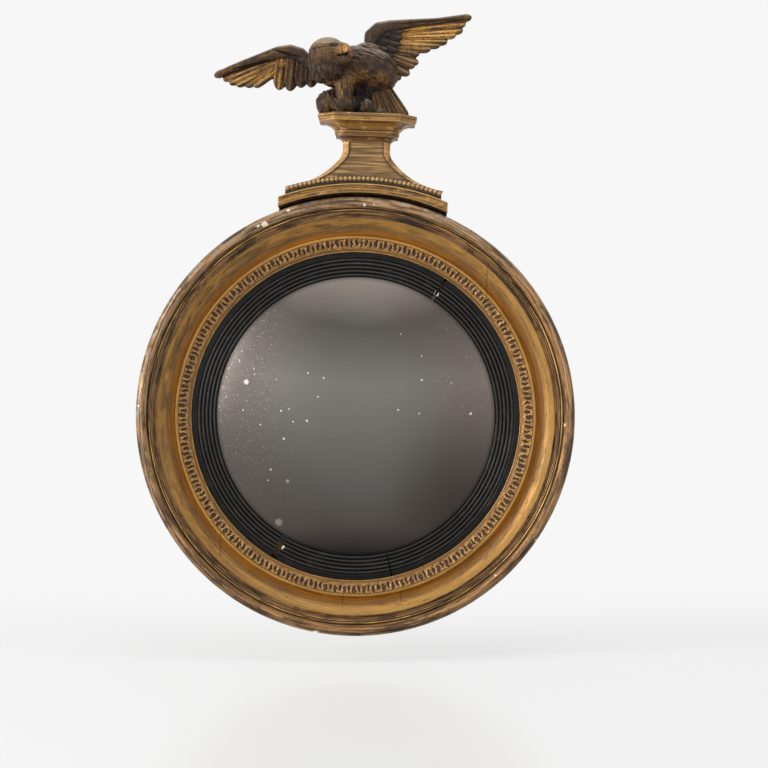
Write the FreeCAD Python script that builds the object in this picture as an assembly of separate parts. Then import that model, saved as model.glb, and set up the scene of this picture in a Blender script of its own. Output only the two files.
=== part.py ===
import FreeCAD, Part

import math
import os

from FreeCAD import Vector

# Round convex mirror in a gilded frame, with a carved eagle on a pedestal as its crest.
# Millimetres. The origin is the centre of the frame on the wall plane: +Z is up, +X is to the
# right of someone who faces the mirror, and the front looks along -Y. "Depth" is the distance
# from the wall plane towards that person, so a depth of 20 lies at y = -20. Angles round the
# frame are degrees clockwise from the top, as that person sees them.

# ---------------------------------------------------------------- driving dimensions

REAR_RING_R = 286.0            # outside of the rear layer of blocks
REAR_DEPTH = 20.0              # depth of the rear layer, where the front layer begins
BOARD_DEPTH = 8.0              # thickness of the backboards
BOARD_REBATE_R = 234.0         # rebate that the backboards drop into
BOARD_R = 233.5
LEDGE_R = 224.0                # ledge that the backboards are nailed to
LEDGE_DEPTH = 14.0
SLIP_SEAT_R = 233.2            # recess that holds the edge of the slip
LIP_DEPTH = 23.5               # back of the lip that overlaps the slip
FELLOE_COUNT = 6

FRAME_R = 300.0                # outside of the torus
TORUS_R = 8.5
TORUS_DEPTH = 48.0             # depth of the middle of the torus
TORUS_CENTRE = (FRAME_R - TORUS_R, TORUS_DEPTH)    # radius from the axis, depth
TORUS_FOOT_DEG = 151.6         # where the torus ends above the bead
FRONT_BEAD_R = 1.6             # bead at the inner foot of the torus
FRONT_BEAD_AT = 282.4
FRONT_BEAD_DEPTH = 49.4        # depth that the bead and the reeds stand on
REED_R = 1.05                  # three fine reeds that step down to the lip
REED_PITCH = 2.1
REED_STEP = 0.8
HOLLOW_LIP_R = 272.4
HOLLOW_R = 20.4                # radius of the deep hollow's section
HOLLOW_CENTRE = (251.6, 50.0)
FILLET_OUT_R = 248.0           # narrow flat between the hollow and the leaf ornament
FILLET_IN_R = 244.5
FILLET_DEPTH = 34.0
BED_OUT = (243.5, 32.3)        # sloping bed of the leaf ornament
BED_IN = (231.5, 27.0)
BED_WALL = 1.3                 # height of the step at the inner edge of that bed
SIGHT_R = 226.3                # innermost edge of the gilded moulding

LEAF_COUNT = 112
LEAF_STRIPS = 4
LEAF_BASE = 1.0                # thickness of the strip behind the leaves
LEAF_RISE = 2.6                # height of a leaf above the bed
LEAF_HALF_SHARE = 0.36         # half width of a leaf as a share of the pitch
LEAF_GLUE = 0.1                # a leaf starts this far above the bed

SLIP_OUT_R = 232.6
SLIP_SIGHT_R = 193.0
SLIP_BACK = 14.3
SLIP_FRONT = 23.2
SLIP_BAND_R = 219.0            # inner edge of the slip's flat outer band
SLIP_REEDS = 5
SLIP_DROP = 2.2                # how far the reeds fall from the band to the glass
SLIP_GROOVE = 1.1              # depth of the grooves below the band
SLIP_REED_RISE = 1.5
GLASS_GAP = 0.2                # room between the slip and the glass
SLIP_JOINTS = ((31.3, 1.0), (165.2, 0.5), (208.4, 2.1))    # open joints: angle, width in degrees

GLASS_R = 202.0
GLASS_CURVE_R = 560.0          # radius of the sphere that the glass is part of
GLASS_THICK = 2.8
GLASS_EDGE_DEPTH = 15.0        # depth of the front of the glass at its rim
SILVER_THICK = 0.3
BLOCK_COUNT = 8                # small blocks that hold the glass forward
BLOCK_HALF_WIDTH = 9.0
BLOCK_UNDER = 6.0              # how far a block reaches behind the glass
BOARD_SHRINKAGE = 0.4          # gap between two boards
NAIL_COUNT = 16
NAIL_RING_R = 229.0
NAIL_HEAD_R = 2.5
NAIL_HEAD_THICK = 1.0
NAIL_R = 1.0
NAIL_LENGTH = 12.6
NAIL_SINK = 0.2

RING_WIRE_R = 1.5              # hanging ring
RING_MEAN_R = 9.0
RING_PIVOT_Z = 254.0
RING_PIVOT_DEPTH = 4.5
KNUCKLE_R = 3.2
KNUCKLE_BORE_R = 1.85          # the ring's wire is bent, so its eye is 0.35 larger
KNUCKLE_LENGTH = 3.5
KNUCKLE_WEB = 4.4              # height of the web between the knuckle and its plate
POCKET_HALF_WIDTH = 17.0       # recess in the top block that the ring lies in, hanging or raised
POCKET_LOW_Z = 230.0
POCKET_HIGH_Z = 276.0
POCKET_DEPTH = 9.5
PLATE_HALF_WIDTH = 15.0
PLATE_HALF_HEIGHT = 18.0
PLATE_THICK = 1.2
HANGER_SCREW = (2.8, 1.4, 9.5)     # screws: head radius, shank radius, length
HANGER_SCREW_X = 11.0
HANGER_SCREW_Z = 14.0

STRAP_X = 34.0                 # iron straps that tie the crest to the frame
STRAP_WIDTH = 16.0
STRAP_THICK = 3.0
STRAP_SINK = 0.2               # the straps lie this far below the back
STRAP_LOW_Z = 239.0
STRAP_HIGH_Z = 343.0
STRAP_SCREW_Z = (248.0, 269.0, 312.0, 336.0)
STRAP_SCREW = (4.0, 2.0, 17.0)

CREST_SHIFT = 2.0              # the pedestal stands this far to the right of the centre
PED_BASE_HALF = 116.0          # half width of the saddle and the base moulding
SADDLE_DEPTH = 19.7
BASE_LOW_R = 306.0             # the crest's mouldings are arcs about the frame's centre
BASE_HIGH_R = 319.0
BASE_DEPTH = 50.0
BASE_FILLET = 5.0              # height of the fillet below the base's hollow
BASE_TOP_FILLET = 2.0
BASE_SET_BACK = 4.0            # the upper fillet stands this far behind the lower one
RAIL_HIGH_R = 329.2
RAIL_DEPTH = 42.0
RAIL_HALF = 107.0
BEAD_R = 3.0
BEAD_COUNT = 35
BEAD_LINE_R = 326.0
BEAD_DRUM = 1.8                # each bead is a short drum with a conical crown
BEAD_CROWN = 2.0

WAIST_HALF = 32.6              # waisted body: two tangent arcs down to a wide foot
WAIST_Z = 366.4
WAIST_TOP_Z = 377.0
UPPER_ARC_R = 21.2
UPPER_ARC_DEG = 38.5
LOWER_ARC_R = 108.8
LOWER_ARC_DEG = 82.0
WAIST_DEPTH = 32.0
FOOT_DEPTH = 45.0
WAIST_CANT = 7.7               # width of the canted corner as seen from the front
FOOT_CANT = 9.5
NECK_HALF = 42.9
NECK_DEPTH = 42.0
NECK_CANT = 9.0
NECK_LOW_Z = 384.4
NECK_HIGH_Z = 389.4
CAP_HALF = 65.9
CAP_DEPTH = 63.0
CAP_CANT = 21.0
CAP_COVE_Z = 402.8
CAP_HIGH_Z = 407.4
TOP_HALF = 68.0
TOP_DEPTH = 65.0
TOP_CANT = 22.0
TOP_Z = 412.8                  # the eagle's rockwork stands at this height
PEG_X = 18.0                   # upright pegs inside the pedestal
PEG_DEPTH = 17.0
PEG_LOW_Z = 360.0
PEG_LENGTH = 44.0
PEG_R = 4.0

# The eagle. Places are (x, depth, z); a lump is its middle, half length along X and radius; a
# limb is a row of (place, radius); a feather is its root and tip in (x, z), and its width.
TORSO = ((-6, 32, 482), 48, 29)
CHEST = ((-48, 38, 471), 26, 20.5)
NEAR_LEG = (((-30, 44, 458), 15), ((-31, 44, 440), 10), ((-30, 44, 429), 7.5))
FAR_LEG = (((4, 28, 464), 13), ((-2, 26, 446), 8.5), ((-6, 26, 431), 7))
HEAD = (((-56, 58, 486), 25), ((-46, 60, 487.5), 24), ((-36, 65, 491), 15), ((-26, 70, 492), 9),
        ((-19, 72, 487), 3.2))
MOUTH_AT = (-33, 66, 487)
MOUTH_LENGTH = 17.0
MOUTH_GAPE = 2.4
MOUTH_TILT_DEG = 17.0          # the mouth rises this much to the right
ROCKS = (((-43, 34, 427.5), 25, 21), ((-6, 34, 419), 28, 19), ((14, 34, 417), 22, 17),
         ((-10, 27, 431), 18, 16))
LEFT_WING_FEATHERS = (
    ((-118, 498), (-212, 465), 12), ((-116, 492), (-190, 455.5), 13), ((-115, 487), (-167, 452.5), 13),
    ((-113, 486), (-147, 462), 12), ((-119, 490), (-126, 450), 14), ((-103, 490), (-105, 449), 14),
    ((-90, 489), (-89, 453), 15), ((-79, 486), (-79, 453.5), 14),
)
LEFT_WING_ARM = (((-62, 31, 485), 9), ((-95, 31, 496), 9.5), ((-110, 31, 500), 9),
                 ((-148, 31, 489), 8), ((-191, 30, 472), 6))
RIGHT_WING_FEATHERS = (
    ((30, 536), (142, 556.5), 10), ((30, 530), (131, 542), 12), ((29, 524), (120.5, 536), 12),
    ((28, 518), (108, 528), 12), ((26, 512), (97, 521), 12), ((24, 508), (85, 516), 12),
    ((22, 504), (71, 502), 12), ((20, 500), (68, 492), 12), ((17, 496), (62, 482), 12),
    ((14, 492), (55, 473), 12),
)
RIGHT_WING_ARM = (((6, 31, 505), 11), ((8, 31, 527), 14.5), ((30, 31, 533), 12),
                  ((70, 31, 541.5), 9), ((121, 30, 550), 5.5))
WING_BACK = 21.0               # depth of the back of the hindmost wing feather
LEFT_WING_STEP = 1.3           # each feather lies this much before the last
RIGHT_WING_STEP = 1.2
TAIL_FEATHERS = (
    ((36, 457), (54, 415), 12), ((28, 457), (44, 414), 12), ((20, 457), (34, 414), 12),
    ((13, 457), (23, 414), 12),
)
TAIL_ARM = (((14, 30, 455), 9), ((34, 28, 458), 9))
TAIL_BACK = 20.0
TAIL_STEP = 2.5
FEATHER_THICK = 7.0
WING_PEGS = (((-50, 30, 482), (-94, 30, 486)), ((0, 30, 486), (8, 30, 520)))
WING_PEG_R = 3.0
NECK_PEG = ((-24, 32, 480), (-42, 61, 487))
NECK_PEG_R = 3.5
EAGLE_SCREW = (4.5, 2.2, 18.0)
EAGLE_SCREW_PLACES = ((-34.0, 30.0), (6.0, 30.0))     # x and depth

FIT = 0.05                     # radial room round a screw, nail or dowel

ORIGIN = Vector(0, 0, 0)
AXIS_X = Vector(1, 0, 0)
AXIS_Y = Vector(0, 1, 0)
AXIS_Z = Vector(0, 0, 1)
FORWARD = Vector(0, -1, 0)     # from the wall towards the viewer

parts = {}


# ---------------------------------------------------------------- shared shapes

def at(x, depth, z):
    """Point given by x, depth and z."""
    return Vector(x, -depth, z)


def section_point(radius, depth):
    """Point of a section through the frame, above the axis."""
    return at(0, depth, radius)


def closed_face(start, moves):
    """Section face inside an outline of straight moves (end,) and arc moves (middle, end)."""
    edges = []
    here = section_point(*start)
    for move in moves:
        stops = [section_point(*stop) for stop in move]
        if len(stops) == 1:
            edges.append(Part.LineSegment(here, stops[0]).toShape())
        else:
            edges.append(Part.Arc(here, *stops).toShape())
        here = stops[-1]
    edges.append(Part.LineSegment(here, section_point(*start)).toShape())
    return Part.Face(Part.Wire(edges))


def on_circle(centre, radius, degrees):
    """Point of a circle in a section, measured from the outward direction towards the viewer."""
    angle = math.radians(degrees)
    return (centre[0] + radius * math.cos(angle), centre[1] + radius * math.sin(angle))


def ring_sector(face, start_deg, end_deg):
    """Turn a section about the frame's axis, from one clockwise angle to another."""
    solid = face.revolve(ORIGIN, AXIS_Y, end_deg - start_deg)
    solid.rotate(ORIGIN, AXIS_Y, start_deg)
    return solid


def turned(shape, degrees):
    """Copy of a shape made at the top of the frame, moved clockwise round it."""
    copy = shape.copy()
    copy.rotate(ORIGIN, AXIS_Y, degrees)
    return copy


def block(x_range, depth_range, z_range):
    """Box between two values of x, depth and z."""
    size = (x_range[1] - x_range[0], depth_range[1] - depth_range[0], z_range[1] - z_range[0])
    return Part.makeBox(*size, Vector(x_range[0], -depth_range[1], z_range[0]))


def rod(start, end, radius):
    """Round bar between two points."""
    return Part.makeCylinder(radius, (end - start).Length, start, end - start)


def joined(shapes):
    """One solid from several that overlap."""
    result = shapes[0]
    for shape in shapes[1:]:
        result = result.fuse(shape)
    return result.removeSplitter()


def cut_all(shape, tools):
    """Shape with every tool that reaches it taken away."""
    for tool in tools:
        if shape.BoundBox.intersect(tool.BoundBox):
            shape = shape.cut(tool)
    return shape


def wood_screw(place, head_r, shank_r, length, slotted=True, room=0.0):
    """Countersunk screw driven from the back towards the viewer, its head flush at its place."""
    head_height = head_r - shank_r
    head = Part.makeCone(head_r + room, shank_r + room, head_height, place, FORWARD)
    neck = place + FORWARD * head_height
    tip_length = 2.5 * shank_r
    shank = Part.makeCylinder(shank_r + room, length - head_height - tip_length, neck, FORWARD)
    tip_at = place + FORWARD * (length - tip_length)
    tip = Part.makeCone(shank_r + room, 0.3 + room, tip_length, tip_at, FORWARD)
    screw = joined([head, shank, tip])
    if slotted:
        slot_half = 0.12 * head_r
        slot_depth = 0.3 * head_height
        slot = Part.makeBox(2.2 * head_r, slot_depth, 2 * slot_half,
                            place - Vector(1.1 * head_r, slot_depth, slot_half))
        screw = screw.cut(slot)
    return screw


# ---------------------------------------------------------------- round frame

def front_section():
    """Section of the front layer: everything gilded from the torus to the sight edge."""
    torus_start = on_circle(TORUS_CENTRE, TORUS_R, -40)
    moves = [
        ((REAR_RING_R, REAR_DEPTH),),
        ((REAR_RING_R + 2, REAR_DEPTH + 1.5),),
        ((REAR_RING_R + 4, REAR_DEPTH + 13), torus_start),
        (on_circle(TORUS_CENTRE, TORUS_R, 60), on_circle(TORUS_CENTRE, TORUS_R, TORUS_FOOT_DEG)),
        ((FRONT_BEAD_AT + FRONT_BEAD_R, FRONT_BEAD_DEPTH),),
        ((FRONT_BEAD_AT, FRONT_BEAD_DEPTH + FRONT_BEAD_R),
         (FRONT_BEAD_AT - FRONT_BEAD_R, FRONT_BEAD_DEPTH)),
    ]
    for reed in range(3):
        centre_r = FRONT_BEAD_AT - FRONT_BEAD_R - REED_R - reed * REED_PITCH
        base = FRONT_BEAD_DEPTH - (reed + 1) * REED_STEP
        moves.append(((centre_r + REED_R, base),))
        moves.append(((centre_r, base + REED_R), (centre_r - REED_R, base)))
    hollow_top = (HOLLOW_CENTRE[0] + HOLLOW_R, HOLLOW_CENTRE[1] - 1.2)
    moves += [
        ((HOLLOW_LIP_R + 1.2, HOLLOW_CENTRE[1] - 3.0),),
        ((HOLLOW_LIP_R + 0.9, HOLLOW_CENTRE[1] - 0.8),),
        ((HOLLOW_LIP_R - 0.1, HOLLOW_CENTRE[1] - 0.3), hollow_top),
        (on_circle(HOLLOW_CENTRE, HOLLOW_R, -45), on_circle(HOLLOW_CENTRE, HOLLOW_R, -90)),
        ((FILLET_OUT_R + 0.8, 30.6), (FILLET_OUT_R, FILLET_DEPTH - 1.2)),
        ((FILLET_OUT_R, FILLET_DEPTH),),
        ((FILLET_IN_R, FILLET_DEPTH),),
        (BED_OUT,),
        (BED_IN,),
        ((BED_IN[0], BED_IN[1] + BED_WALL),),
        ((SIGHT_R + 2.2, BED_IN[1]),),
        ((SIGHT_R + 2, BED_IN[1] - 0.8),),
        ((SIGHT_R + 1, BED_IN[1]), (SIGHT_R, BED_IN[1] - 0.8)),
        ((SIGHT_R, LIP_DEPTH),),
        ((SLIP_SEAT_R, LIP_DEPTH),),
    ]
    return closed_face((SLIP_SEAT_R, REAR_DEPTH), moves)


def rear_section():
    """Section of the rear layer, with the rebate and the ledge for the backboards."""
    corners = [(REAR_RING_R, 0), (REAR_RING_R, REAR_DEPTH), (SLIP_SEAT_R, REAR_DEPTH),
               (SLIP_SEAT_R, LEDGE_DEPTH), (LEDGE_R, LEDGE_DEPTH), (LEDGE_R, BOARD_DEPTH),
               (BOARD_REBATE_R, BOARD_DEPTH)]
    return closed_face((BOARD_REBATE_R, 0), [(corner,) for corner in corners])


def slip_section():
    """Section of the slip: a flat band, then reeds that fall towards the glass."""
    moves = [
        ((SLIP_OUT_R, SLIP_FRONT),),
        ((SLIP_BAND_R, SLIP_FRONT),),
    ]
    pitch = (SLIP_BAND_R - SLIP_SIGHT_R) / SLIP_REEDS
    for reed in range(SLIP_REEDS):
        outer_r = SLIP_BAND_R - reed * pitch
        base = SLIP_FRONT - SLIP_GROOVE - SLIP_DROP * reed / (SLIP_REEDS - 1)
        moves.append(((outer_r, base),))
        moves.append(((outer_r - pitch / 2, base + SLIP_REED_RISE), (outer_r - pitch, base - 0.4)))
    moves += [
        ((SLIP_SIGHT_R, glass_front_depth(SLIP_SIGHT_R) + GLASS_GAP),),
        ((GLASS_R + 0.5, glass_front_depth(GLASS_R) + GLASS_GAP),),
        ((GLASS_R + 0.5, SLIP_BACK),),
    ]
    return closed_face((SLIP_OUT_R, SLIP_BACK), moves)


def glass_front_depth(radius, curve_r=GLASS_CURVE_R):
    """Depth of a sphere about the glass's centre of curvature, at a radius from the axis."""
    centre_depth = GLASS_EDGE_DEPTH - math.sqrt(GLASS_CURVE_R ** 2 - GLASS_R ** 2)
    return centre_depth + math.sqrt(curve_r ** 2 - radius ** 2)


def dome_shell(outer_curve_r, thickness, edge_r):
    """Thin round cap cut from a sphere, bulging towards the viewer."""
    inner_curve_r = outer_curve_r - thickness
    middle_r = edge_r / 2
    inner_edge = (edge_r, glass_front_depth(edge_r, inner_curve_r))
    moves = [
        ((middle_r, glass_front_depth(middle_r, outer_curve_r)),
         (edge_r, glass_front_depth(edge_r, outer_curve_r))),
        (inner_edge,),
        ((middle_r, glass_front_depth(middle_r, inner_curve_r)),
         (0, glass_front_depth(0, inner_curve_r))),
    ]
    face = closed_face((0, glass_front_depth(0, outer_curve_r)), moves)
    return face.revolve(ORIGIN, AXIS_Y, 360)


def leaf():
    """One leaf of the ornament, at the top of the frame: a tongue with its round end inwards."""
    pitch_mm = 2 * math.pi * BED_IN[0] / LEAF_COUNT
    half = LEAF_HALF_SHARE * pitch_mm
    bottom = BED_IN[0] + 1.2 + half
    top = BED_OUT[0] - 0.4
    edges = [
        Part.LineSegment(Vector(-half, 0, top), Vector(-half, 0, bottom)).toShape(),
        Part.Arc(Vector(-half, 0, bottom), Vector(0, 0, bottom - half),
                 Vector(half, 0, bottom)).toShape(),
        Part.LineSegment(Vector(half, 0, bottom), Vector(half, 0, top)).toShape(),
        Part.LineSegment(Vector(half, 0, top), Vector(-half, 0, top)).toShape(),
    ]
    plate = Part.Face(Part.Wire(edges)).extrude(FORWARD * LEAF_RISE)
    slope = math.degrees(math.atan2(BED_OUT[1] - BED_IN[1], BED_OUT[0] - BED_IN[0]))
    plate.translate(FORWARD * (BED_IN[1] + LEAF_GLUE))
    plate.rotate(Vector(0, -BED_IN[1], BED_IN[0]), AXIS_X, slope)
    return plate


def leaf_strip(start_deg):
    """Quarter of the ring of ornament: a thin strip with its share of the leaves."""
    bed = closed_face(BED_OUT, [
        (BED_IN,),
        ((BED_IN[0] + 0.1, BED_IN[1] + LEAF_BASE),),
        ((BED_OUT[0] - 0.1, BED_OUT[1] + LEAF_BASE),),
    ])
    span = 360.0 / LEAF_STRIPS
    pitch = 360.0 / LEAF_COUNT
    solids = [ring_sector(bed, start_deg, start_deg + span)]
    one_leaf = leaf()
    for index in range(LEAF_COUNT // LEAF_STRIPS):
        solids.append(turned(one_leaf, start_deg + (index + 0.5) * pitch))
    return joined(solids)


def glass_block():
    """Small block glued behind the rim of the glass, made at the top of the frame."""
    width = (-BLOCK_HALF_WIDTH, BLOCK_HALF_WIDTH)
    top = LEDGE_R - 0.4
    rim_depth = glass_front_depth(GLASS_R, GLASS_CURVE_R - GLASS_THICK - SILVER_THICK) - 0.1
    low = block(width, (BOARD_DEPTH + 0.3, rim_depth), (GLASS_R - BLOCK_UNDER, top))
    high = block(width, (rim_depth - 0.1, SLIP_BACK - 0.1), (GLASS_R + 0.6, top))
    return joined([low, high])


def nail(room=0.0):
    """Flat-headed nail, made at the top of the frame and driven in from the back."""
    head_at = at(0, NAIL_SINK, NAIL_RING_R)
    head = Part.makeCylinder(NAIL_HEAD_R + room, NAIL_HEAD_THICK, head_at, FORWARD)
    shank = Part.makeCylinder(NAIL_R + room, NAIL_LENGTH, head_at, FORWARD)
    return joined([head, shank])


def nail_angles():
    """Angles of the nails, clear of the vertical joints between the boards."""
    step = 360.0 / NAIL_COUNT
    return [(index + 0.5) * step for index in range(NAIL_COUNT)]


def backboard(x_low, x_high):
    """Vertical board, cut to the round rebate."""
    disc = Part.makeCylinder(BOARD_R, BOARD_DEPTH, ORIGIN, FORWARD)
    strip = block((x_low, x_high), (0, BOARD_DEPTH), (-BOARD_R, BOARD_R))
    return disc.common(strip)


# ---------------------------------------------------------------- hanger

def hanging_ring():
    """Round wire ring that hangs in the knuckle."""
    centre = at(0, RING_PIVOT_DEPTH, RING_PIVOT_Z - RING_MEAN_R)
    return Part.makeTorus(RING_MEAN_R, RING_WIRE_R, centre, AXIS_Y)


def hanger_screws(slotted=True, room=0.0):
    """Screws near the corners of the hanger plate, flush with its face."""
    face_depth = POCKET_DEPTH - PLATE_THICK
    screws = []
    for x in (-HANGER_SCREW_X, HANGER_SCREW_X):
        for z in (RING_PIVOT_Z - HANGER_SCREW_Z, RING_PIVOT_Z + HANGER_SCREW_Z):
            screws.append(wood_screw(at(x, face_depth, z), *HANGER_SCREW, slotted, room))
    return screws


def hanger_plate():
    """Brass plate at the bottom of the pocket, with the knuckle that holds the ring."""
    plate = block((-PLATE_HALF_WIDTH, PLATE_HALF_WIDTH), (POCKET_DEPTH - PLATE_THICK, POCKET_DEPTH),
                  (RING_PIVOT_Z - PLATE_HALF_HEIGHT, RING_PIVOT_Z + PLATE_HALF_HEIGHT))
    half = KNUCKLE_LENGTH / 2
    web = block((-half, half), (RING_PIVOT_DEPTH, POCKET_DEPTH - PLATE_THICK),
                (RING_PIVOT_Z - KNUCKLE_WEB / 2, RING_PIVOT_Z + KNUCKLE_WEB / 2))
    start = at(-half, RING_PIVOT_DEPTH, RING_PIVOT_Z)
    barrel = Part.makeCylinder(KNUCKLE_R, KNUCKLE_LENGTH, start, AXIS_X)
    eye = Part.makeCylinder(KNUCKLE_BORE_R, KNUCKLE_LENGTH + 2, start - AXIS_X, AXIS_X)
    return joined([plate, web, barrel]).cut(eye)


# ---------------------------------------------------------------- pedestal

def canted_wire(half, depth, cant, z):
    """Level section of the pedestal: a flat back, and the two front corners canted at 45 degrees."""
    corners = [(-half, 0), (half, 0), (half, depth - cant), (half - cant, depth),
               (cant - half, depth), (-half, depth - cant)]
    points = [at(x + CREST_SHIFT, d, z) for x, d in corners]
    return Part.makePolygon(points + [points[0]])


def canted_block(half, depth, cant, low_z, high_z):
    """Upright piece of the pedestal with a constant canted section."""
    face = Part.Face(canted_wire(half, depth, cant, low_z))
    return face.extrude(AXIS_Z * (high_z - low_z))


def waist_outline():
    """Half width and height down the waisted body: an upper arc that runs into a wide lower arc."""
    stations = [(WAIST_HALF, WAIST_TOP_Z)]
    for index in range(4):
        angle = math.radians(UPPER_ARC_DEG * index / 3)
        stations.append((WAIST_HALF + UPPER_ARC_R * (1 - math.cos(angle)),
                         WAIST_Z - UPPER_ARC_R * math.sin(angle)))
    join_half, join_z = stations[-1]
    start = math.radians(UPPER_ARC_DEG)
    for index in range(1, 7):
        angle = math.radians(UPPER_ARC_DEG + (LOWER_ARC_DEG - UPPER_ARC_DEG) * index / 6)
        stations.append((join_half + LOWER_ARC_R * (math.cos(start) - math.cos(angle)),
                         join_z - LOWER_ARC_R * (math.sin(angle) - math.sin(start))))
    return stations


def waisted_body():
    """Body of the pedestal, hollowed below to sit on the bead rail's arc."""
    stations = waist_outline()
    foot_half = stations[-1][0]
    wires = []
    for half, z in stations:
        part_down = (half - WAIST_HALF) / (foot_half - WAIST_HALF)
        depth = WAIST_DEPTH + (FOOT_DEPTH - WAIST_DEPTH) * part_down
        cant = WAIST_CANT + (FOOT_CANT - WAIST_CANT) * part_down
        wires.append(canted_wire(half, depth, cant, z))
    upper = Part.makeLoft(wires, True, True)
    bed = Part.makeCylinder(RAIL_HIGH_R + 0.2, 2 * FOOT_DEPTH, Vector(0, FOOT_DEPTH / 2, 0), FORWARD)
    return upper.cut(bed)


def cove_loft(low, high, low_z, high_z, steps=6):
    """Piece whose canted section widens upwards along a hollow; low and high are half, depth, cant."""
    wires = []
    for index in range(steps + 1):
        angle = math.radians(90.0 * index / steps)
        spread = 1 - math.cos(angle)
        half, depth, cant = (a + (b - a) * spread for a, b in zip(low, high))
        wires.append(canted_wire(half, depth, cant, low_z + (high_z - low_z) * math.sin(angle)))
    return Part.makeLoft(wires, True, True)


def crest_arc(face, inner_r, half_width):
    """Section turned to an arc about the frame's centre, between two upright ends."""
    reach = math.degrees(math.asin(half_width / inner_r)) + 3
    arc = ring_sector(face, -reach, reach)
    return arc.common(block((-half_width, half_width), (-1, 2 * BASE_DEPTH), (0, 2 * FRAME_R)))


def bar_section(inner_r, outer_r, depth):
    """Rectangular section that stands on the wall plane."""
    return closed_face((inner_r, 0), [((outer_r, 0),), ((outer_r, depth),), ((inner_r, depth),)])


def base_section():
    """Section of the base moulding: bottom fillet, hollow, and a thinner fillet on top."""
    fillet_r = BASE_LOW_R + BASE_FILLET
    upper_r = BASE_HIGH_R - BASE_TOP_FILLET
    upper_depth = BASE_DEPTH - BASE_SET_BACK
    return closed_face((BASE_LOW_R, 0), [
        ((BASE_HIGH_R, 0),),
        ((BASE_HIGH_R, upper_depth),),
        ((upper_r, upper_depth),),
        ((upper_r - 2.5, upper_depth + 0.8), (fillet_r + 0.4, BASE_DEPTH - 0.6)),
        ((fillet_r, BASE_DEPTH),),
        ((BASE_LOW_R, BASE_DEPTH),),
    ])


def bead():
    """One bead of the rail, made at the top of the frame."""
    seat = at(0, RAIL_DEPTH - 0.2, BEAD_LINE_R)
    drum = Part.makeCylinder(BEAD_R, BEAD_DRUM, seat, FORWARD)
    crown = Part.makeCone(BEAD_R, BEAD_R / 2, BEAD_CROWN, seat + FORWARD * BEAD_DRUM, FORWARD)
    return drum.fuse(crown)


def bead_rail():
    """Curved rail between the base and the body, with a row of beads along its front."""
    inner_r = BASE_HIGH_R + 0.2
    rail = crest_arc(bar_section(inner_r, RAIL_HIGH_R, RAIL_DEPTH), inner_r, RAIL_HALF)
    reach = math.degrees(math.asin((RAIL_HALF - BEAD_R) / BEAD_LINE_R))
    step = 2 * reach / (BEAD_COUNT - 1)
    one_bead = bead()
    return joined([rail] + [turned(one_bead, index * step - reach) for index in range(BEAD_COUNT)])


def pedestal_dowels(room=0.0):
    """Upright pegs that hold the waisted body, neck, cap and top board in line."""
    pegs = []
    for x in (CREST_SHIFT - PEG_X, CREST_SHIFT + PEG_X):
        foot = at(x, PEG_DEPTH, PEG_LOW_Z - room)
        pegs.append(Part.makeCylinder(PEG_R + room, PEG_LENGTH + 2 * room, foot, AXIS_Z))
    return pegs


# ---------------------------------------------------------------- eagle

def egg(place, half_length, radius):
    """Egg-shaped lump of carved wood, with its length along X."""
    centre = at(*place)
    curve = Part.Arc(Part.Ellipse(centre, half_length, radius), 0, math.pi).toShape()
    axis = Part.LineSegment(centre - AXIS_X * half_length, centre + AXIS_X * half_length).toShape()
    return Part.Face(Part.Wire([curve, axis])).revolve(centre, AXIS_X, 360)


def tapered_limb(stations):
    """Round limb through (place, radius) stations, with a ball at every bend."""
    points = [(at(*place), radius) for place, radius in stations]
    solids = []
    for (start, start_r), (end, end_r) in zip(points, points[1:]):
        if start_r == end_r:
            solids.append(rod(start, end, start_r))
        else:
            solids.append(Part.makeCone(start_r, end_r, (end - start).Length, start, end - start))
    for centre, radius in points:
        solids.append(Part.makeSphere(radius, centre))
    return joined(solids)


def feather(root, tip, width, back_depth):
    """Flat blade with a round end, from root to tip in the plane of the wall."""
    root_point = at(root[0], back_depth, root[1])
    tip_point = at(tip[0], back_depth, tip[1])
    along = (tip_point - root_point).normalize()
    across = Vector(along.z, 0, -along.x) * (width / 2)
    shoulder = tip_point - along * (width / 2)
    edges = [
        Part.LineSegment(root_point - across, root_point + across).toShape(),
        Part.LineSegment(root_point + across, shoulder + across).toShape(),
        Part.Arc(shoulder + across, tip_point, shoulder - across).toShape(),
        Part.LineSegment(shoulder - across, root_point - across).toShape(),
    ]
    return Part.Face(Part.Wire(edges)).extrude(FORWARD * FEATHER_THICK)


def feathered(feathers, arm_stations, back_depth, step):
    """Wing or tail: overlapping feathers, each a step deeper than the last, under a thick limb."""
    solids = [tapered_limb(arm_stations)]
    for index, (root, tip, width) in enumerate(feathers):
        solids.append(feather(root, tip, width, back_depth + index * step))
    return joined(solids)


def eagle_body():
    """Body with the chest at the left, two thighs and the legs that stand on the rock."""
    return joined([egg(*TORSO), egg(*CHEST), tapered_limb(NEAR_LEG), tapered_limb(FAR_LEG)])


def eagle_head():
    """Head turned to the viewer's right, with a hooked beak over an open mouth."""
    x, depth, z = MOUTH_AT
    mouth = block((x - MOUTH_LENGTH / 2, x + MOUTH_LENGTH / 2), (depth - 10, depth + 40),
                  (z - MOUTH_GAPE / 2, z + MOUTH_GAPE / 2))
    mouth.rotate(at(*MOUTH_AT), AXIS_Y, -MOUTH_TILT_DEG)
    return tapered_limb(HEAD).cut(mouth)


def rockwork():
    """Rough lump of rock that the eagle stands on, flat below."""
    heap = joined([egg(*rock) for rock in ROCKS])
    return heap.common(block((-120, 120), (0, 80), (TOP_Z, TOP_Z + 60)))


def wing_dowels(room=0.0):
    """Pegs that carry the two wings on the body."""
    return [rod(at(*start), at(*end), WING_PEG_R + room) for start, end in WING_PEGS]


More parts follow.
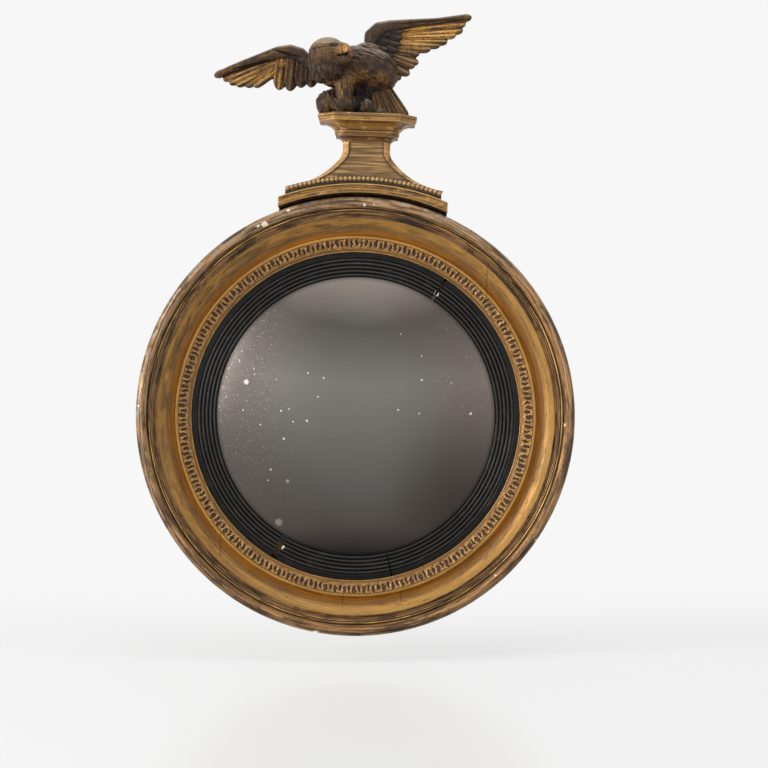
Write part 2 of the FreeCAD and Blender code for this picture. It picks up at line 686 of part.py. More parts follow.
def neck_dowel(room=0.0):
    """Peg between the body and the head."""
    start, end = NECK_PEG
    return rod(at(*start), at(*end), NECK_PEG_R + room)


def eagle_screws(slotted=True, room=0.0):
    """Screws that hold the rockwork, their heads in the underside of the top board."""
    screws = []
    for x, depth in EAGLE_SCREW_PLACES:
        screw = wood_screw(ORIGIN, *EAGLE_SCREW, slotted, room)
        screw.rotate(ORIGIN, AXIS_X, -90)
        screw.translate(at(x, depth, CAP_HIGH_Z + 0.1))
        screws.append(screw)
    return screws


# ---------------------------------------------------------------- making the pieces

def make_frame():
    """Both layers of curved blocks, the ornament, the slip, the glass and the back."""
    felloe_span = 360.0 / FELLOE_COUNT
    nails = [turned(nail(), angle) for angle in nail_angles()]
    nail_holes = [turned(nail(FIT), angle) for angle in nail_angles()]
    pocket = block((-POCKET_HALF_WIDTH, POCKET_HALF_WIDTH), (-1, POCKET_DEPTH),
                   (POCKET_LOW_Z, POCKET_HIGH_Z))
    hanger_holes = hanger_screws(False, FIT)
    rear_tools = nail_holes + [pocket] + hanger_holes + strap_cutters()
    front_face = front_section()
    rear_face = rear_section()
    for index in range(FELLOE_COUNT):
        middle = index * felloe_span
        rear = ring_sector(rear_face, middle - felloe_span / 2, middle + felloe_span / 2)
        parts[f"rear_felloe_{index + 1}"] = cut_all(rear, rear_tools)
        front = ring_sector(front_face, middle, middle + felloe_span)
        parts[f"front_felloe_{index + 1}"] = front
    for index in range(LEAF_STRIPS):
        parts[f"leaf_moulding_{index + 1}"] = leaf_strip(index * 360.0 / LEAF_STRIPS)

    slip_face = slip_section()
    names = ("slip_right", "slip_bottom", "slip_left")
    for index, name in enumerate(names):
        start, start_gap = SLIP_JOINTS[index]
        end, end_gap = SLIP_JOINTS[(index + 1) % 3]
        end += 360.0 if end < start else 0.0
        parts[name] = ring_sector(slip_face, start + start_gap / 2, end - end_gap / 2)

    parts["convex_glass"] = dome_shell(GLASS_CURVE_R, GLASS_THICK, GLASS_R)
    parts["silvering"] = dome_shell(GLASS_CURVE_R - GLASS_THICK, SILVER_THICK, GLASS_R - 1)
    step = 360.0 / BLOCK_COUNT
    blocks = [turned(glass_block(), (index + 0.5) * step) for index in range(BLOCK_COUNT)]
    parts["glass_blocks"] = Part.makeCompound(blocks)

    joint_x = BOARD_R / 3
    gap = BOARD_SHRINKAGE / 2
    edges = ((-BOARD_R, -joint_x - gap), (-joint_x + gap, joint_x - gap), (joint_x + gap, BOARD_R))
    for name, (x_low, x_high) in zip(("left", "middle", "right"), edges):
        parts[f"backboard_{name}"] = cut_all(backboard(x_low, x_high), nail_holes)
    parts["backboard_nails"] = Part.makeCompound(nails)


def make_hanger():
    """Plate, screws and the ring that turns in the plate's knuckle."""
    parts["hanger_plate"] = cut_all(hanger_plate(), hanger_screws(False, FIT))
    parts["hanger_screws"] = Part.makeCompound(hanger_screws())
    parts["hanging_ring"] = hanging_ring()


def strap_screws(slotted=True, room=0.0):
    """Screws of both crest straps, flush with the straps."""
    screws = []
    for x in (-STRAP_X, STRAP_X):
        for z in STRAP_SCREW_Z:
            screws.append(wood_screw(at(x, STRAP_SINK, z), *STRAP_SCREW, slotted, room))
    return screws


def strap(x):
    """Flat iron strap, sunk in the back, with rounded ends."""
    half = STRAP_WIDTH / 2
    low, high = STRAP_LOW_Z + half, STRAP_HIGH_Z - half
    bar = block((x - half, x + half), (STRAP_SINK, STRAP_SINK + STRAP_THICK), (low, high))
    ends = [Part.makeCylinder(half, STRAP_THICK, at(x, STRAP_SINK, z), FORWARD) for z in (low, high)]
    return joined([bar] + ends)


def strap_cutters():
    """Recesses and screw holes that the straps need in the wood behind them."""
    cutters = strap_screws(False, FIT)
    half = STRAP_WIDTH / 2 + 0.2
    for x in (-STRAP_X, STRAP_X):
        cutters.append(block((x - half, x + half), (-1, STRAP_SINK + STRAP_THICK),
                             (STRAP_LOW_Z - 0.2, STRAP_HIGH_Z + 0.2)))
    return cutters


def make_straps():
    """The two straps and their screws."""
    holes = strap_screws(False, FIT)
    parts["crest_strap_left"] = cut_all(strap(-STRAP_X), holes)
    parts["crest_strap_right"] = cut_all(strap(STRAP_X), holes)
    parts["crest_strap_screws"] = Part.makeCompound(strap_screws())


def make_pedestal():
    """Everything from the black saddle on the frame up to the board under the eagle."""
    straps = strap_cutters()
    peg_holes = pedestal_dowels(FIT)
    saddle_r = REAR_RING_R + 0.3
    saddle_face = bar_section(saddle_r, BASE_LOW_R - 0.1, SADDLE_DEPTH)
    saddle = crest_arc(saddle_face, saddle_r, PED_BASE_HALF)
    base = crest_arc(base_section(), BASE_LOW_R, PED_BASE_HALF)
    parts["pedestal_saddle"] = cut_all(saddle, straps)
    parts["pedestal_base_moulding"] = cut_all(base, straps)
    parts["pedestal_bead_rail"] = cut_all(bead_rail(), straps)
    parts["pedestal_body"] = cut_all(waisted_body(), straps + peg_holes)

    waist = (WAIST_HALF, WAIST_DEPTH, WAIST_CANT)
    neck = (NECK_HALF, NECK_DEPTH, NECK_CANT)
    cap = (CAP_HALF, CAP_DEPTH, CAP_CANT)
    neck_piece = joined([cove_loft(waist, neck, WAIST_TOP_Z, NECK_LOW_Z),
                         canted_block(*neck, NECK_LOW_Z, NECK_HIGH_Z)])
    cap_piece = joined([cove_loft(neck, cap, NECK_HIGH_Z, CAP_COVE_Z),
                        canted_block(*cap, CAP_COVE_Z, CAP_HIGH_Z)])
    screw_room = eagle_screws(False, FIT)
    parts["pedestal_neck_moulding"] = cut_all(neck_piece, peg_holes)
    parts["pedestal_cap_moulding"] = cut_all(cap_piece, peg_holes)
    board = canted_block(TOP_HALF, TOP_DEPTH, TOP_CANT, CAP_HIGH_Z, TOP_Z)
    parts["pedestal_top_board"] = cut_all(board, screw_room)
    parts["pedestal_dowels"] = Part.makeCompound(pedestal_dowels())


def make_eagle():
    """The carved eagle: each block is cut back where the next one is glued to it."""
    pegs = wing_dowels(FIT) + [neck_dowel(FIT)]
    screw_room = eagle_screws(False, FIT)
    body = eagle_body()
    head = eagle_head().cut(body)
    tail = feathered(TAIL_FEATHERS, TAIL_ARM, TAIL_BACK, TAIL_STEP).cut(body)
    tail = tail.common(block((-50, 100), (0, 80), (TOP_Z + 0.3, 600)))
    rock = rockwork().cut(body).cut(tail)
    left_wing = feathered(LEFT_WING_FEATHERS, LEFT_WING_ARM, WING_BACK, LEFT_WING_STEP)
    right_wing = feathered(RIGHT_WING_FEATHERS, RIGHT_WING_ARM, WING_BACK, RIGHT_WING_STEP)
    carved = {
        "eagle_body": body,
        "eagle_head": head,
        "eagle_tail": tail,
        "eagle_rockwork": rock,
        "eagle_left_wing": left_wing.cut(body).cut(head),
        "eagle_right_wing": right_wing.cut(body).cut(head),
    }
    for name, shape in carved.items():
        parts[name] = cut_all(shape, pegs + screw_room)
    parts["wing_dowels"] = Part.makeCompound(wing_dowels())
    parts["neck_dowel"] = neck_dowel()
    parts["eagle_screws"] = Part.makeCompound(eagle_screws())


make_frame()
make_hanger()
make_straps()
make_pedestal()
make_eagle()

os.makedirs("parts", exist_ok=True)
for node, shape in parts.items():
    shape.exportStep(f"parts/{node}.step")
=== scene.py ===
import math

import bpy
import numpy as np
from mathutils import Matrix, Vector


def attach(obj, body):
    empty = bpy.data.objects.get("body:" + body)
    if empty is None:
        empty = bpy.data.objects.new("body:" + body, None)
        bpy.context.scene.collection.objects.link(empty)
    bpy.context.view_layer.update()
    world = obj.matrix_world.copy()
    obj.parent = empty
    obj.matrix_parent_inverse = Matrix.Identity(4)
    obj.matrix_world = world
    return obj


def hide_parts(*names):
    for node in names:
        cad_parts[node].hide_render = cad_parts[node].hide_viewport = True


# Looks of a round convex mirror with a carved eagle on a pedestal. Shapes are worked out in
# millimetres and become metres when a mesh is made. +Z is up, the front looks along -Y, and
# "depth" is the distance from the wall plane towards the viewer, so a depth of 20 is y = -20.
# Angles round the frame are degrees clockwise from the top.

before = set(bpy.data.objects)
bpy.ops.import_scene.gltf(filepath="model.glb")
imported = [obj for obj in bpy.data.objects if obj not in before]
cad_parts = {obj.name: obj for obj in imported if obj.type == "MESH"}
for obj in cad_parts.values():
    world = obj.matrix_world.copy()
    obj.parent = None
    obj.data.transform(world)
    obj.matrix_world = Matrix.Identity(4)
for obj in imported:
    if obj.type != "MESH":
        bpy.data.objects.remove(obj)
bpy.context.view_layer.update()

MM = 0.001

# ---------------------------------------------------------------- dimensions of the frame

FRAME_R = 300.0
TORUS_R = 8.5
TORUS_CENTRE = (FRAME_R - TORUS_R, 48.0)
REAR_RING_R = 286.0
REAR_DEPTH = 20.0
LIP_DEPTH = 23.5
SLIP_SEAT_R = 233.2
FELLOE_COUNT = 6
FRONT_BEAD_AT = 282.4
FRONT_BEAD_R = 1.6
FRONT_BEAD_DEPTH = 49.4
REED_R = 1.05
REED_PITCH = 2.1
REED_STEP = 0.8
HOLLOW_LIP_R = 272.4
HOLLOW_R = 20.4
HOLLOW_CENTRE = (251.6, 50.0)
FILLET_OUT_R = 248.0
FILLET_IN_R = 244.5
FILLET_DEPTH = 34.0
BED_OUT = (243.5, 32.3)
BED_IN = (231.5, 27.0)
SIGHT_R = 226.3
LEAF_COUNT = 112
LEAF_STRIPS = 4

SLIP_OUT_R = 232.6
SLIP_SIGHT_R = 193.0
SLIP_BACK = 14.3
SLIP_FRONT = 23.2
SLIP_BAND_R = 219.0
SLIP_REEDS = 5
SLIP_DROP = 2.2
# clockwise angle and width in degrees of the open joints where right, bottom and left begin
SLIP_JOINTS = ((31.3, 1.0), (165.2, 0.5), (208.4, 2.1))
# the chip at an end of each length: -1 for its start or 1 for its end, radius, size
SLIP_CHIPS = (("slip_right", -1, 202.5, 2.6), ("slip_bottom", 1, 207.0, 3.4), ("slip_left", 1, 202.5, 2.2))

GLASS_R = 202.0
GLASS_CURVE_R = 560.0
GLASS_THICK = 2.8
GLASS_EDGE_DEPTH = 15.0

# (angle round the frame, angle round the torus from its outer side, size, depth of the loss)
TORUS_CHIPS = (
    (332.75, 103, 4.5, 0.5), (330.9, 95, 2.4, 0.4), (340.0, 57, 2.2, 0.5), (270.9, 57, 1.5, 0.5),
    (188.5, 20, 5.2, 2.2), (122.25, 31, 2.0, 0.5), (136.6, 113, 1.8, 0.4), (90.25, 138, 2.2, 0.4),
    (0.4, 109, 2.3, 0.5), (3.0, 100, 1.2, 0.3),
)

# ---------------------------------------------------------------- dimensions of the crest

CREST_SHIFT = 2.0
PED_BASE_HALF = 116.0
SADDLE_LOW_R = 286.3
SADDLE_HIGH_R = 305.9
SADDLE_DEPTH = 19.7
BASE_LOW_R = 306.0
BASE_HIGH_R = 319.0
BASE_DEPTH = 50.0
RAIL_HIGH_R = 329.2
RAIL_DEPTH = 42.0
RAIL_HALF = 107.0
BEAD_R = 3.0
BEAD_COUNT = 35
BEAD_LINE_R = 326.0
ARC_STATIONS = 181
WAIST_HALF = 32.6
WAIST_Z = 366.4
WAIST_TOP_Z = 377.0
UPPER_ARC_R = 21.2
UPPER_ARC_DEG = 38.5
LOWER_ARC_R = 108.8
LOWER_ARC_DEG = 82.0
WAIST_SIZE = (32.0, 7.7)       # depth and cant at the waist
FOOT_SIZE = (45.0, 9.5)
PANEL_SINK = 1.4
NECK_HALF = 42.9
NECK_LOW_Z = 384.4
NECK_HIGH_Z = 389.4
CAP_HALF = 65.9
CAP_COVE_Z = 402.8
CAP_HIGH_Z = 407.4
TOP_HALF = 68.0
TOP_Z = 412.8
# depth and cant that go with a half width, from the waist up to the top board
CREST_HALVES = (WAIST_HALF, NECK_HALF, CAP_HALF, TOP_HALF)
CREST_DEPTHS = (32.0, 42.0, 63.0, 65.0)
CREST_CANTS = (7.7, 9.0, 21.0, 22.0)


# ---------------------------------------------------------------- fields and outlines

def fade(value, low, high):
    """Smooth step from 0 at low to 1 at high."""
    t = np.clip((value - low) / (high - low), 0, 1)
    return t * t * (3 - 2 * t)


def hump(distance, width):
    """Bell-shaped weight that is 1 at no distance."""
    return np.exp(-(distance / width) ** 2)


def lattice(cells, seed):
    """Repeatable random number between -1 and 1 for each whole-numbered cell."""
    n = cells.astype(np.int64)
    mixed = (n[..., 0] * 73856093) ^ (n[..., 1] * 19349663) ^ (n[..., 2] * 83492791) ^ (seed * 40503)
    mixed = ((mixed ^ (mixed >> 13)) * 1274126177) & 0x7FFFFFFF
    return ((mixed ^ (mixed >> 15)) & 0xFFFF) / 32767.5 - 1


def noise(points, seed):
    """Smooth random field between -1 and 1, with about one hump per unit."""
    base = np.floor(points)
    t = points - base
    t = t * t * (3 - 2 * t)
    total = 0
    for corner in np.ndindex(2, 2, 2):
        weight = 1
        for axis in range(3):
            weight = weight * (t[..., axis] if corner[axis] else 1 - t[..., axis])
        total = total + weight * lattice(base + np.array(corner), seed)
    return total


def rough(points, seed):
    """Sum of three layers of noise, each finer than the last."""
    return sum(noise(points * 2.0 ** k, seed + k) / 2.0 ** k for k in range(3)) / 1.6


def on_circle(centre, radius, degrees):
    """Point of a circle in a section, measured from the outward direction towards the viewer."""
    angle = math.radians(degrees)
    return (centre[0] + radius * math.cos(angle), centre[1] + radius * math.sin(angle))


def arc_points(start, middle, end, step):
    """Points after start on the arc through middle to end."""
    (ax, ay), (bx, by), (cx, cy) = start, middle, end
    twice = 2 * (ax * (by - cy) + bx * (cy - ay) + cx * (ay - by))
    a2, b2, c2 = ax * ax + ay * ay, bx * bx + by * by, cx * cx + cy * cy
    ux = (a2 * (by - cy) + b2 * (cy - ay) + c2 * (ay - by)) / twice
    uy = (a2 * (cx - bx) + b2 * (ax - cx) + c2 * (bx - ax)) / twice
    radius = math.hypot(ax - ux, ay - uy)
    first, half_way, last = (math.atan2(y - uy, x - ux) for x, y in (start, middle, end))
    sweep = (last - first) % math.tau
    if (half_way - first) % math.tau > sweep:
        sweep -= math.tau
    fine = min(step, max(0.3, 0.35 * radius))
    count = max(3, math.ceil(abs(sweep) * radius / fine))
    angles = first + sweep * np.arange(1, count + 1) / count
    return np.stack([ux + radius * np.cos(angles), uy + radius * np.sin(angles)], -1)


def trace(start, moves, step):
    """Sampled outline of straight moves (end,) and arc moves (middle, end)."""
    points = [np.array([start], float)]
    for move in moves:
        here = tuple(points[-1][-1])
        if len(move) == 2:
            points.append(arc_points(here, move[0], move[1], step))
        else:
            length = math.dist(here, move[0])
            share = np.arange(1, math.ceil(length / step) + 1)[:, None] / math.ceil(length / step)
            points.append(np.array(here) + share * (np.array(move[0]) - np.array(here)))
    return np.concatenate(points)


def softened(loop):
    """Closed outline with its corners eased a little."""
    return (np.roll(loop, 1, 0) + 2 * loop + np.roll(loop, -1, 0)) / 4


# ---------------------------------------------------------------- meshes

def store(mesh, key, numbers):
    """Keep one float per point in a mesh, for the material to read."""
    layer = mesh.attributes.new(key, "FLOAT", "POINT")
    layer.data.foreach_set("value", np.asarray(numbers, np.float32).ravel())


def vectors(items, key):
    """Vectors of a mesh's points, as rows."""
    flat = np.zeros(len(items) * 3, np.float32)
    items.foreach_get(key, flat)
    return flat.reshape(-1, 3)


def piece(name, vertices, faces, material, sharp_deg=40, values=None):
    """Smooth-shaded mesh object from points in millimetres, with float values per point."""
    mesh = bpy.data.meshes.new(name)
    mesh.from_pydata((np.asarray(vertices) * MM).tolist(), [], [list(map(int, f)) for f in faces])
    mesh.update()
    mesh.polygons.foreach_set("use_smooth", np.ones(len(mesh.polygons), bool))
    mesh.set_sharp_from_angle(angle=math.radians(sharp_deg))
    for key, numbers in (values or {}).items():
        store(mesh, key, numbers)
    mesh.materials.append(material)
    made = bpy.data.objects.new(name, mesh)
    bpy.context.scene.collection.objects.link(made)
    return made


def loft_faces(rows, loop):
    """Quads between closed loops of points, and a face over each end."""
    index = np.arange(rows * loop).reshape(rows, loop)
    low, high = index[:-1], index[1:]
    quads = np.stack([low, np.roll(low, -1, 1), np.roll(high, -1, 1), high], -1).reshape(-1, 4)
    return quads.tolist() + [index[0][::-1].tolist(), index[-1].tolist()]


def volume_of(vertices, faces):
    """Signed volume inside a closed mesh."""
    corners = np.array([face[:3] for face in faces if len(face) == 4])
    far = np.array([[face[0], face[2], face[3]] for face in faces if len(face) == 4])
    total = 0
    for triangles in (corners, far):
        a, b, c = (vertices[triangles[:, k]] for k in range(3))
        total += np.einsum("ij,ij->i", a, np.cross(b, c)).sum() / 6
    return total


def facing_out(vertices, faces):
    """Faces of a closed mesh, turned so that their fronts are outside."""
    return [face[::-1] for face in faces] if volume_of(vertices, faces) < 0 else faces


def loft(name, rows, material, sharp_deg=40, values=None):
    """Closed piece through loops of points given as rows x loop x 3."""
    vertices = rows.reshape(-1, 3)
    faces = facing_out(vertices - vertices.mean(0), loft_faces(*rows.shape[:2]))
    return piece(name, vertices, faces, material, sharp_deg, values)


def ring_rows(section, angles):
    """Section of (radius, depth) points turned to each clockwise angle."""
    turn = np.radians(angles)[:, None]
    radius, depth = section[..., 0], section[..., 1]
    return np.stack([radius * np.sin(turn), -depth + 0 * turn, radius * np.cos(turn)], -1)


def outward(section):
    """Unit normals of a closed outline, away from its inside."""
    along = np.roll(section, -1, -2) - np.roll(section, 1, -2)
    normal = np.stack([along[..., 1], -along[..., 0]], -1)
    normal /= np.maximum(np.linalg.norm(normal, axis=-1, keepdims=True), 1e-9)
    x, y = section[..., 0], section[..., 1]
    area = (x * np.roll(y, -1, -1) - np.roll(x, -1, -1) * y).sum(-1)
    return normal * np.sign(area)[..., None, None] if area.ndim else normal * np.sign(area)


def settle(made, slot, *nodes):
    """Hang a new piece on the frame's body, in place of the CAD nodes that it shows."""
    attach(made, "frame")
    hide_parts(*nodes)
    return made


# ---------------------------------------------------------------- material graphs

def srgb(red, green, blue):
    """Linear colour of a 0-255 screen colour."""
    linear = [c / 255 / 12.92 if c <= 10 else ((c / 255 + 0.055) / 1.055) ** 2.4
              for c in (red, green, blue)]
    return (*linear, 1.0)


class Graph:
    """Node tree of one material, built by small calls that return sockets."""

    def __init__(self, name):
        self.material = bpy.data.materials.new(name)
        self.material.use_nodes = True
        self.tree = self.material.node_tree
        self.shader = self.tree.nodes["Principled BSDF"]
        self.place = self.add("ShaderNodeTexCoord").outputs["Object"]

    def add(self, kind, inputs=(), **settings):
        """A node with its settings, its inputs fed with sockets or constants."""
        made = self.tree.nodes.new(kind)
        for key, value in settings.items():
            setattr(made, key, value)
        for key, value in dict(inputs).items():
            self.feed(made.inputs[key], value)
        return made

    def feed(self, socket, value):
        if isinstance(value, bpy.types.NodeSocket):
            self.tree.links.new(value, socket)
        else:
            socket.default_value = value

    def math(self, operation, a, b=0.0, clamp=False):
        return self.add("ShaderNodeMath", {0: a, 1: b}, operation=operation, use_clamp=clamp).outputs[0]

    def times(self, a, b, clamp=False):
        return self.math("MULTIPLY", a, b, clamp)

    def plus(self, a, b):
        return self.math("ADD", a, b)

    def minus(self, a, b):
        return self.math("SUBTRACT", a, b)

    def greater(self, a, b):
        return self.math("MAXIMUM", a, b)

    def swing(self, noise, amount):
        """Noise between 0 and 1 carried to half the amount below and above zero."""
        return self.times(self.minus(noise, 0.5), amount)

    def vector(self, operation, a, b=(0, 0, 0)):
        return self.add("ShaderNodeVectorMath", {0: a, 1: b}, operation=operation).outputs[0]

    def mix(self, share, a, b, blend="MIX"):
        """Colour a towards colour b by share."""
        node = self.add("ShaderNodeMix", {0: share, 6: a, 7: b}, data_type="RGBA", blend_type=blend)
        return node.outputs[2]

    def band(self, value, low, high, out_low=0.0, out_high=1.0):
        """Value carried smoothly from low..high to out_low..out_high."""
        node = self.add("ShaderNodeMapRange", {0: value, 1: low, 2: high, 3: out_low, 4: out_high},
                        interpolation_type="SMOOTHSTEP")
        return node.outputs[0]

    def noise(self, where, scale, detail=3.0, roughness=0.55):
        node = self.add("ShaderNodeTexNoise", {"Vector": where, "Scale": scale, "Detail": detail,
                                               "Roughness": roughness})
        return node.outputs[0]

    def ramp(self, value, stops):
        """Colour by value, through (position, colour) stops."""
        node = self.add("ShaderNodeValToRGB", {0: value})
        elements = node.color_ramp.elements
        while len(elements) < len(stops):
            elements.new(0.5)
        for element, (position, colour) in zip(elements, stops):
            element.position = position
            element.color = colour
        return node.outputs[0]

    def attribute(self, name):
        return self.add("ShaderNodeAttribute", attribute_name=name).outputs["Fac"]

    def split(self, where):
        return self.add("ShaderNodeSeparateXYZ", {0: where}).outputs

    def join(self, x, y, z):
        return self.add("ShaderNodeCombineXYZ", {0: x, 1: y, 2: z}).outputs[0]

    def flat(self):
        """Place with its depth taken out, for distances from the frame's axis."""
        x, _, z = self.split(self.place)
        return self.join(x, 0.0, z)

    def radius(self):
        node = self.add("ShaderNodeVectorMath", {0: self.flat()}, operation="LENGTH")
        return node.outputs["Value"]

    def ringwise(self, along, across):
        """Coordinates that run with the ring: humps per radian, and per metre of section."""
        unit = self.vector("MULTIPLY", self.vector("NORMALIZE", self.flat()), (along,) * 3)
        section = self.minus(self.radius(), self.times(self.split(self.place)[1], 0.7))
        return self.vector("ADD", unit, self.join(0.0, self.times(section, across), 0.0))

    def stretched(self, x, y, z):
        return self.vector("MULTIPLY", self.place, (x, y, z))

    def finish(self, colour, metallic, roughness, height=None, height_mm=0.1, **sockets):
        """Feed the shader, with a bump of the given height."""
        self.feed(self.shader.inputs["Base Color"], colour)
        self.feed(self.shader.inputs["Metallic"], metallic)
        self.feed(self.shader.inputs["Roughness"], roughness)
        if height is not None:
            bump = self.add("ShaderNodeBump", {"Height": height, "Strength": 1.0, "Distance": height_mm * MM})
            self.feed(self.shader.inputs["Normal"], bump.outputs[0])
        for key, value in sockets.items():
            self.feed(self.shader.inputs[key.replace("_", " ")], value)
        return self.material


GOLD = srgb(190, 142, 70)
# painted highlight colour for the crests of the moulding
HIGHLIGHT_GOLD = srgb(212, 168, 98)
AMBER = srgb(160, 100, 10)
TAN = srgb(146, 102, 50)
UMBER = srgb(104, 76, 46)
RUBBED = srgb(178, 136, 92)
# painted shade colour for the quirks of the moulding
QUIRK_SHADE = srgb(50, 34, 20)
GRIME = srgb(58, 46, 34)
DUST_AND_SHEEN = srgb(172, 156, 134)
GESSO = srgb(236, 226, 204)

# colours of the moulding from the sight edge out: (radius, colour). The darkest stops, in the quirks beside
# the hollow's lip, the reeds, the front bead and the torus, are painted shade; the palest gold stops, on the
# sight edge, the hollow's lip and the front bead, are painted highlights.
RING_BANDS = (
    (226.4, HIGHLIGHT_GOLD), (227.8, TAN), (231.5, TAN), (243.4, UMBER), (244.6, GOLD), (247.2, GOLD),
    (248.6, AMBER), (253.0, AMBER), (259.0, TAN), (265.0, GOLD), (271.4, HIGHLIGHT_GOLD), (272.8, QUIRK_SHADE),
    (274.2, RUBBED), (275.6, UMBER), (276.6, RUBBED), (277.8, UMBER), (279.0, RUBBED), (280.6, QUIRK_SHADE),
    (282.2, HIGHLIGHT_GOLD), (283.6, QUIRK_SHADE), (285.6, TAN), (291.0, RUBBED), (299.5, UMBER),
)


def gilt_ring():
    """Old water gilding on the turned moulding: worn, streaked along the ring, cracked at joints, with
    painted shade in its quirks and hollow and painted highlights on its crests.
    """
    g = Graph("gilt_moulding")
    low, high = RING_BANDS[0][0], RING_BANDS[-1][0]
    wobble = g.swing(g.noise(g.ringwise(14, 60), 1.0), 0.0016)
    radius = g.plus(g.radius(), wobble)
    share = g.math("DIVIDE", g.minus(radius, low * MM), (high - low) * MM, clamp=True)
    colour = g.ramp(share, [((r - low) / (high - low), c) for r, c in RING_BANDS])

    streaks = g.noise(g.ringwise(3, 300), 1.0, 5.0, 0.7)
    fine_lines = g.noise(g.ringwise(7, 520), 1.0, 4.0, 0.7)
    patches = g.noise(g.ringwise(8, 80), 1.0, 4.0, 0.6)
    blots = g.noise(g.ringwise(22, 260), 1.0, 4.0, 0.62)
    torus = g.band(g.radius(), 0.2835, 0.2865)
    reeds = g.band(g.radius(), 0.2715, 0.2730)
    x, y, z = g.split(g.place)

    hollow = g.times(g.band(g.radius(), 0.2525, 0.2585), g.band(g.radius(), 0.2715, 0.2640, 0.35, 1.0))
    # painted shade: the hollow turns browner towards the upper left, where its slopes face away from the key
    # lamp, broken up in patches
    upper_left_share = g.band(g.minus(z, x), -0.20, 0.34, 0.15, 0.8)
    hollow_shade = g.times(g.times(upper_left_share, hollow), g.band(patches, 0.42, 0.58))
    colour = g.mix(hollow_shade, colour, srgb(116, 88, 50))
    smudge = g.times(g.times(g.band(blots, 0.56, 0.66), g.band(patches, 0.45, 0.55)), 0.75)
    colour = g.mix(g.times(smudge, hollow), colour, srgb(84, 60, 36))

    amount = g.plus(g.times(reeds, 0.6), 0.4)
    shade = g.plus(g.band(streaks, 0.40, 0.60, 0.62, -0.62), g.band(fine_lines, 0.38, 0.62, 0.42, -0.42))
    tone = g.plus(1.0, g.times(shade, amount))
    colour = g.mix(1.0, colour, g.join(tone, tone, tone), "MULTIPLY")
    # dust and a painted highlight: the upper left of the torus, which faces the lamps, turns pale grey in
    # patches
    upper = g.band(g.minus(z, g.times(x, 0.7)), -0.10, 0.26, 0.10, 1.0)
    top_dust_and_sheen = g.times(g.times(torus, upper), g.band(blots, 0.44, 0.58, 0.0, 0.85))
    colour = g.mix(g.times(top_dust_and_sheen, g.band(streaks, 0.58, 0.46)), colour, DUST_AND_SHEEN)
    scored = g.greater(g.band(streaks, 0.52, 0.58), g.band(fine_lines, 0.54, 0.60, 0.0, 0.8))
    colour = g.mix(g.times(g.times(scored, torus), 0.6), colour, srgb(70, 50, 36))
    bole = g.times(reeds, g.band(patches, 0.53, 0.63, 0.0, 0.6))
    colour = g.mix(bole, colour, srgb(66, 46, 36))

    # brown bole and painted shade on the torus's outer side wall
    side = g.times(g.band(y, -0.044, -0.036), g.band(g.radius(), 0.284, 0.286))
    colour = g.mix(g.times(side, 0.7), colour, srgb(74, 56, 40))
    specks = g.band(g.noise(g.place, 900.0, 2.0), 0.64, 0.72, 0.0, 0.6)
    colour = g.mix(specks, colour, GRIME)
    colour = g.mix(cracks(g, x, z), colour, srgb(30, 21, 14))
    bare = g.attribute("bare")
    colour = g.mix(bare, colour, GESSO)

    metal = g.times(g.minus(1.0, bare), g.band(streaks, 0.60, 0.42, 0.1, 0.5))
    gloss = g.band(patches, 0.3, 0.75, 0.34, 0.58)
    height = g.plus(g.times(streaks, 0.9), g.noise(g.place, 420.0, 4.0))
    return g.finish(colour, metal, gloss, height, 0.3)


def cracks(g, x, z):
    """Dark lines where the turned ring's upright joints have opened."""
    line = None
    sway = g.swing(g.noise(g.place, 90.0), 0.003)
    for at_x, low_z, high_z in ((0.174, 0.150, 0.214), (-0.180, -0.198, -0.150), (-0.009, -0.262, -0.243),
                                (0.071, -0.254, -0.238), (0.116, 0.212, 0.222), (-0.115, 0.212, 0.224)):
        away = g.math("ABSOLUTE", g.minus(g.plus(x, sway), at_x))
        thin = g.band(away, 0.0006, 0.0002)
        span = g.times(g.math("GREATER_THAN", z, low_z), g.math("LESS_THAN", z, high_z))
        here = g.times(thin, span)
        line = here if line is None else g.greater(line, here)
    return g.times(line, 0.8)


def gilt_ornament():
    """Pressed composition ornament: gilded on its ridges, with painted shade darkening its hollows."""
    g = Graph("gilt_ornament")
    relief = g.attribute("relief")
    patches = g.noise(g.ringwise(14, 150), 1.0, 3.0)
    uneven = g.plus(relief, g.swing(patches, 0.5))
    # painted shade: the lower the relief, the darker the colour
    colour = g.ramp(uneven, [(0.0, srgb(58, 38, 20)), (0.28, srgb(92, 64, 34)), (0.5, srgb(150, 110, 62)),
                             (0.8, srgb(188, 142, 84)), (1.0, srgb(216, 174, 114))])
    specks = g.band(g.noise(g.place, 700.0, 3.0), 0.58, 0.72, 0.0, 0.5)
    colour = g.mix(specks, colour, srgb(70, 48, 28))
    metal = g.band(uneven, 0.3, 0.8, 0.1, 0.45)
    gloss = g.band(uneven, 0.2, 0.9, 0.62, 0.42)
    return g.finish(colour, metal, gloss, g.noise(g.place, 900.0, 3.0), 0.12)


def ebonised():
    """Black stained and polished pear wood, dusty in its grooves, with painted highlights along its reed
    crests.
    """
    g = Graph("ebonised_wood")
    streaks = g.noise(g.ringwise(4, 500), 1.0, 4.0)
    dust = g.noise(g.ringwise(12, 160), 1.0, 3.0)
    colour = g.mix(g.band(streaks, 0.35, 0.7), srgb(11, 11, 11), srgb(24, 21, 18))
    colour = g.mix(g.band(dust, 0.52, 0.75, 0.0, 0.45), colour, srgb(52, 46, 40))
    # painted highlight: pale grey lines along the reed crests
    colour = g.mix(g.times(g.attribute("crest"), g.band(streaks, 0.30, 0.60, 0.9, 0.35)), colour,
                   srgb(82, 78, 74))
    colour = g.mix(g.attribute("bare"), colour, GESSO)
    gloss = g.band(dust, 0.3, 0.8, 0.20, 0.38)
    return g.finish(colour, 0.0, gloss, g.noise(g.place, 700.0, 3.0), 0.02)


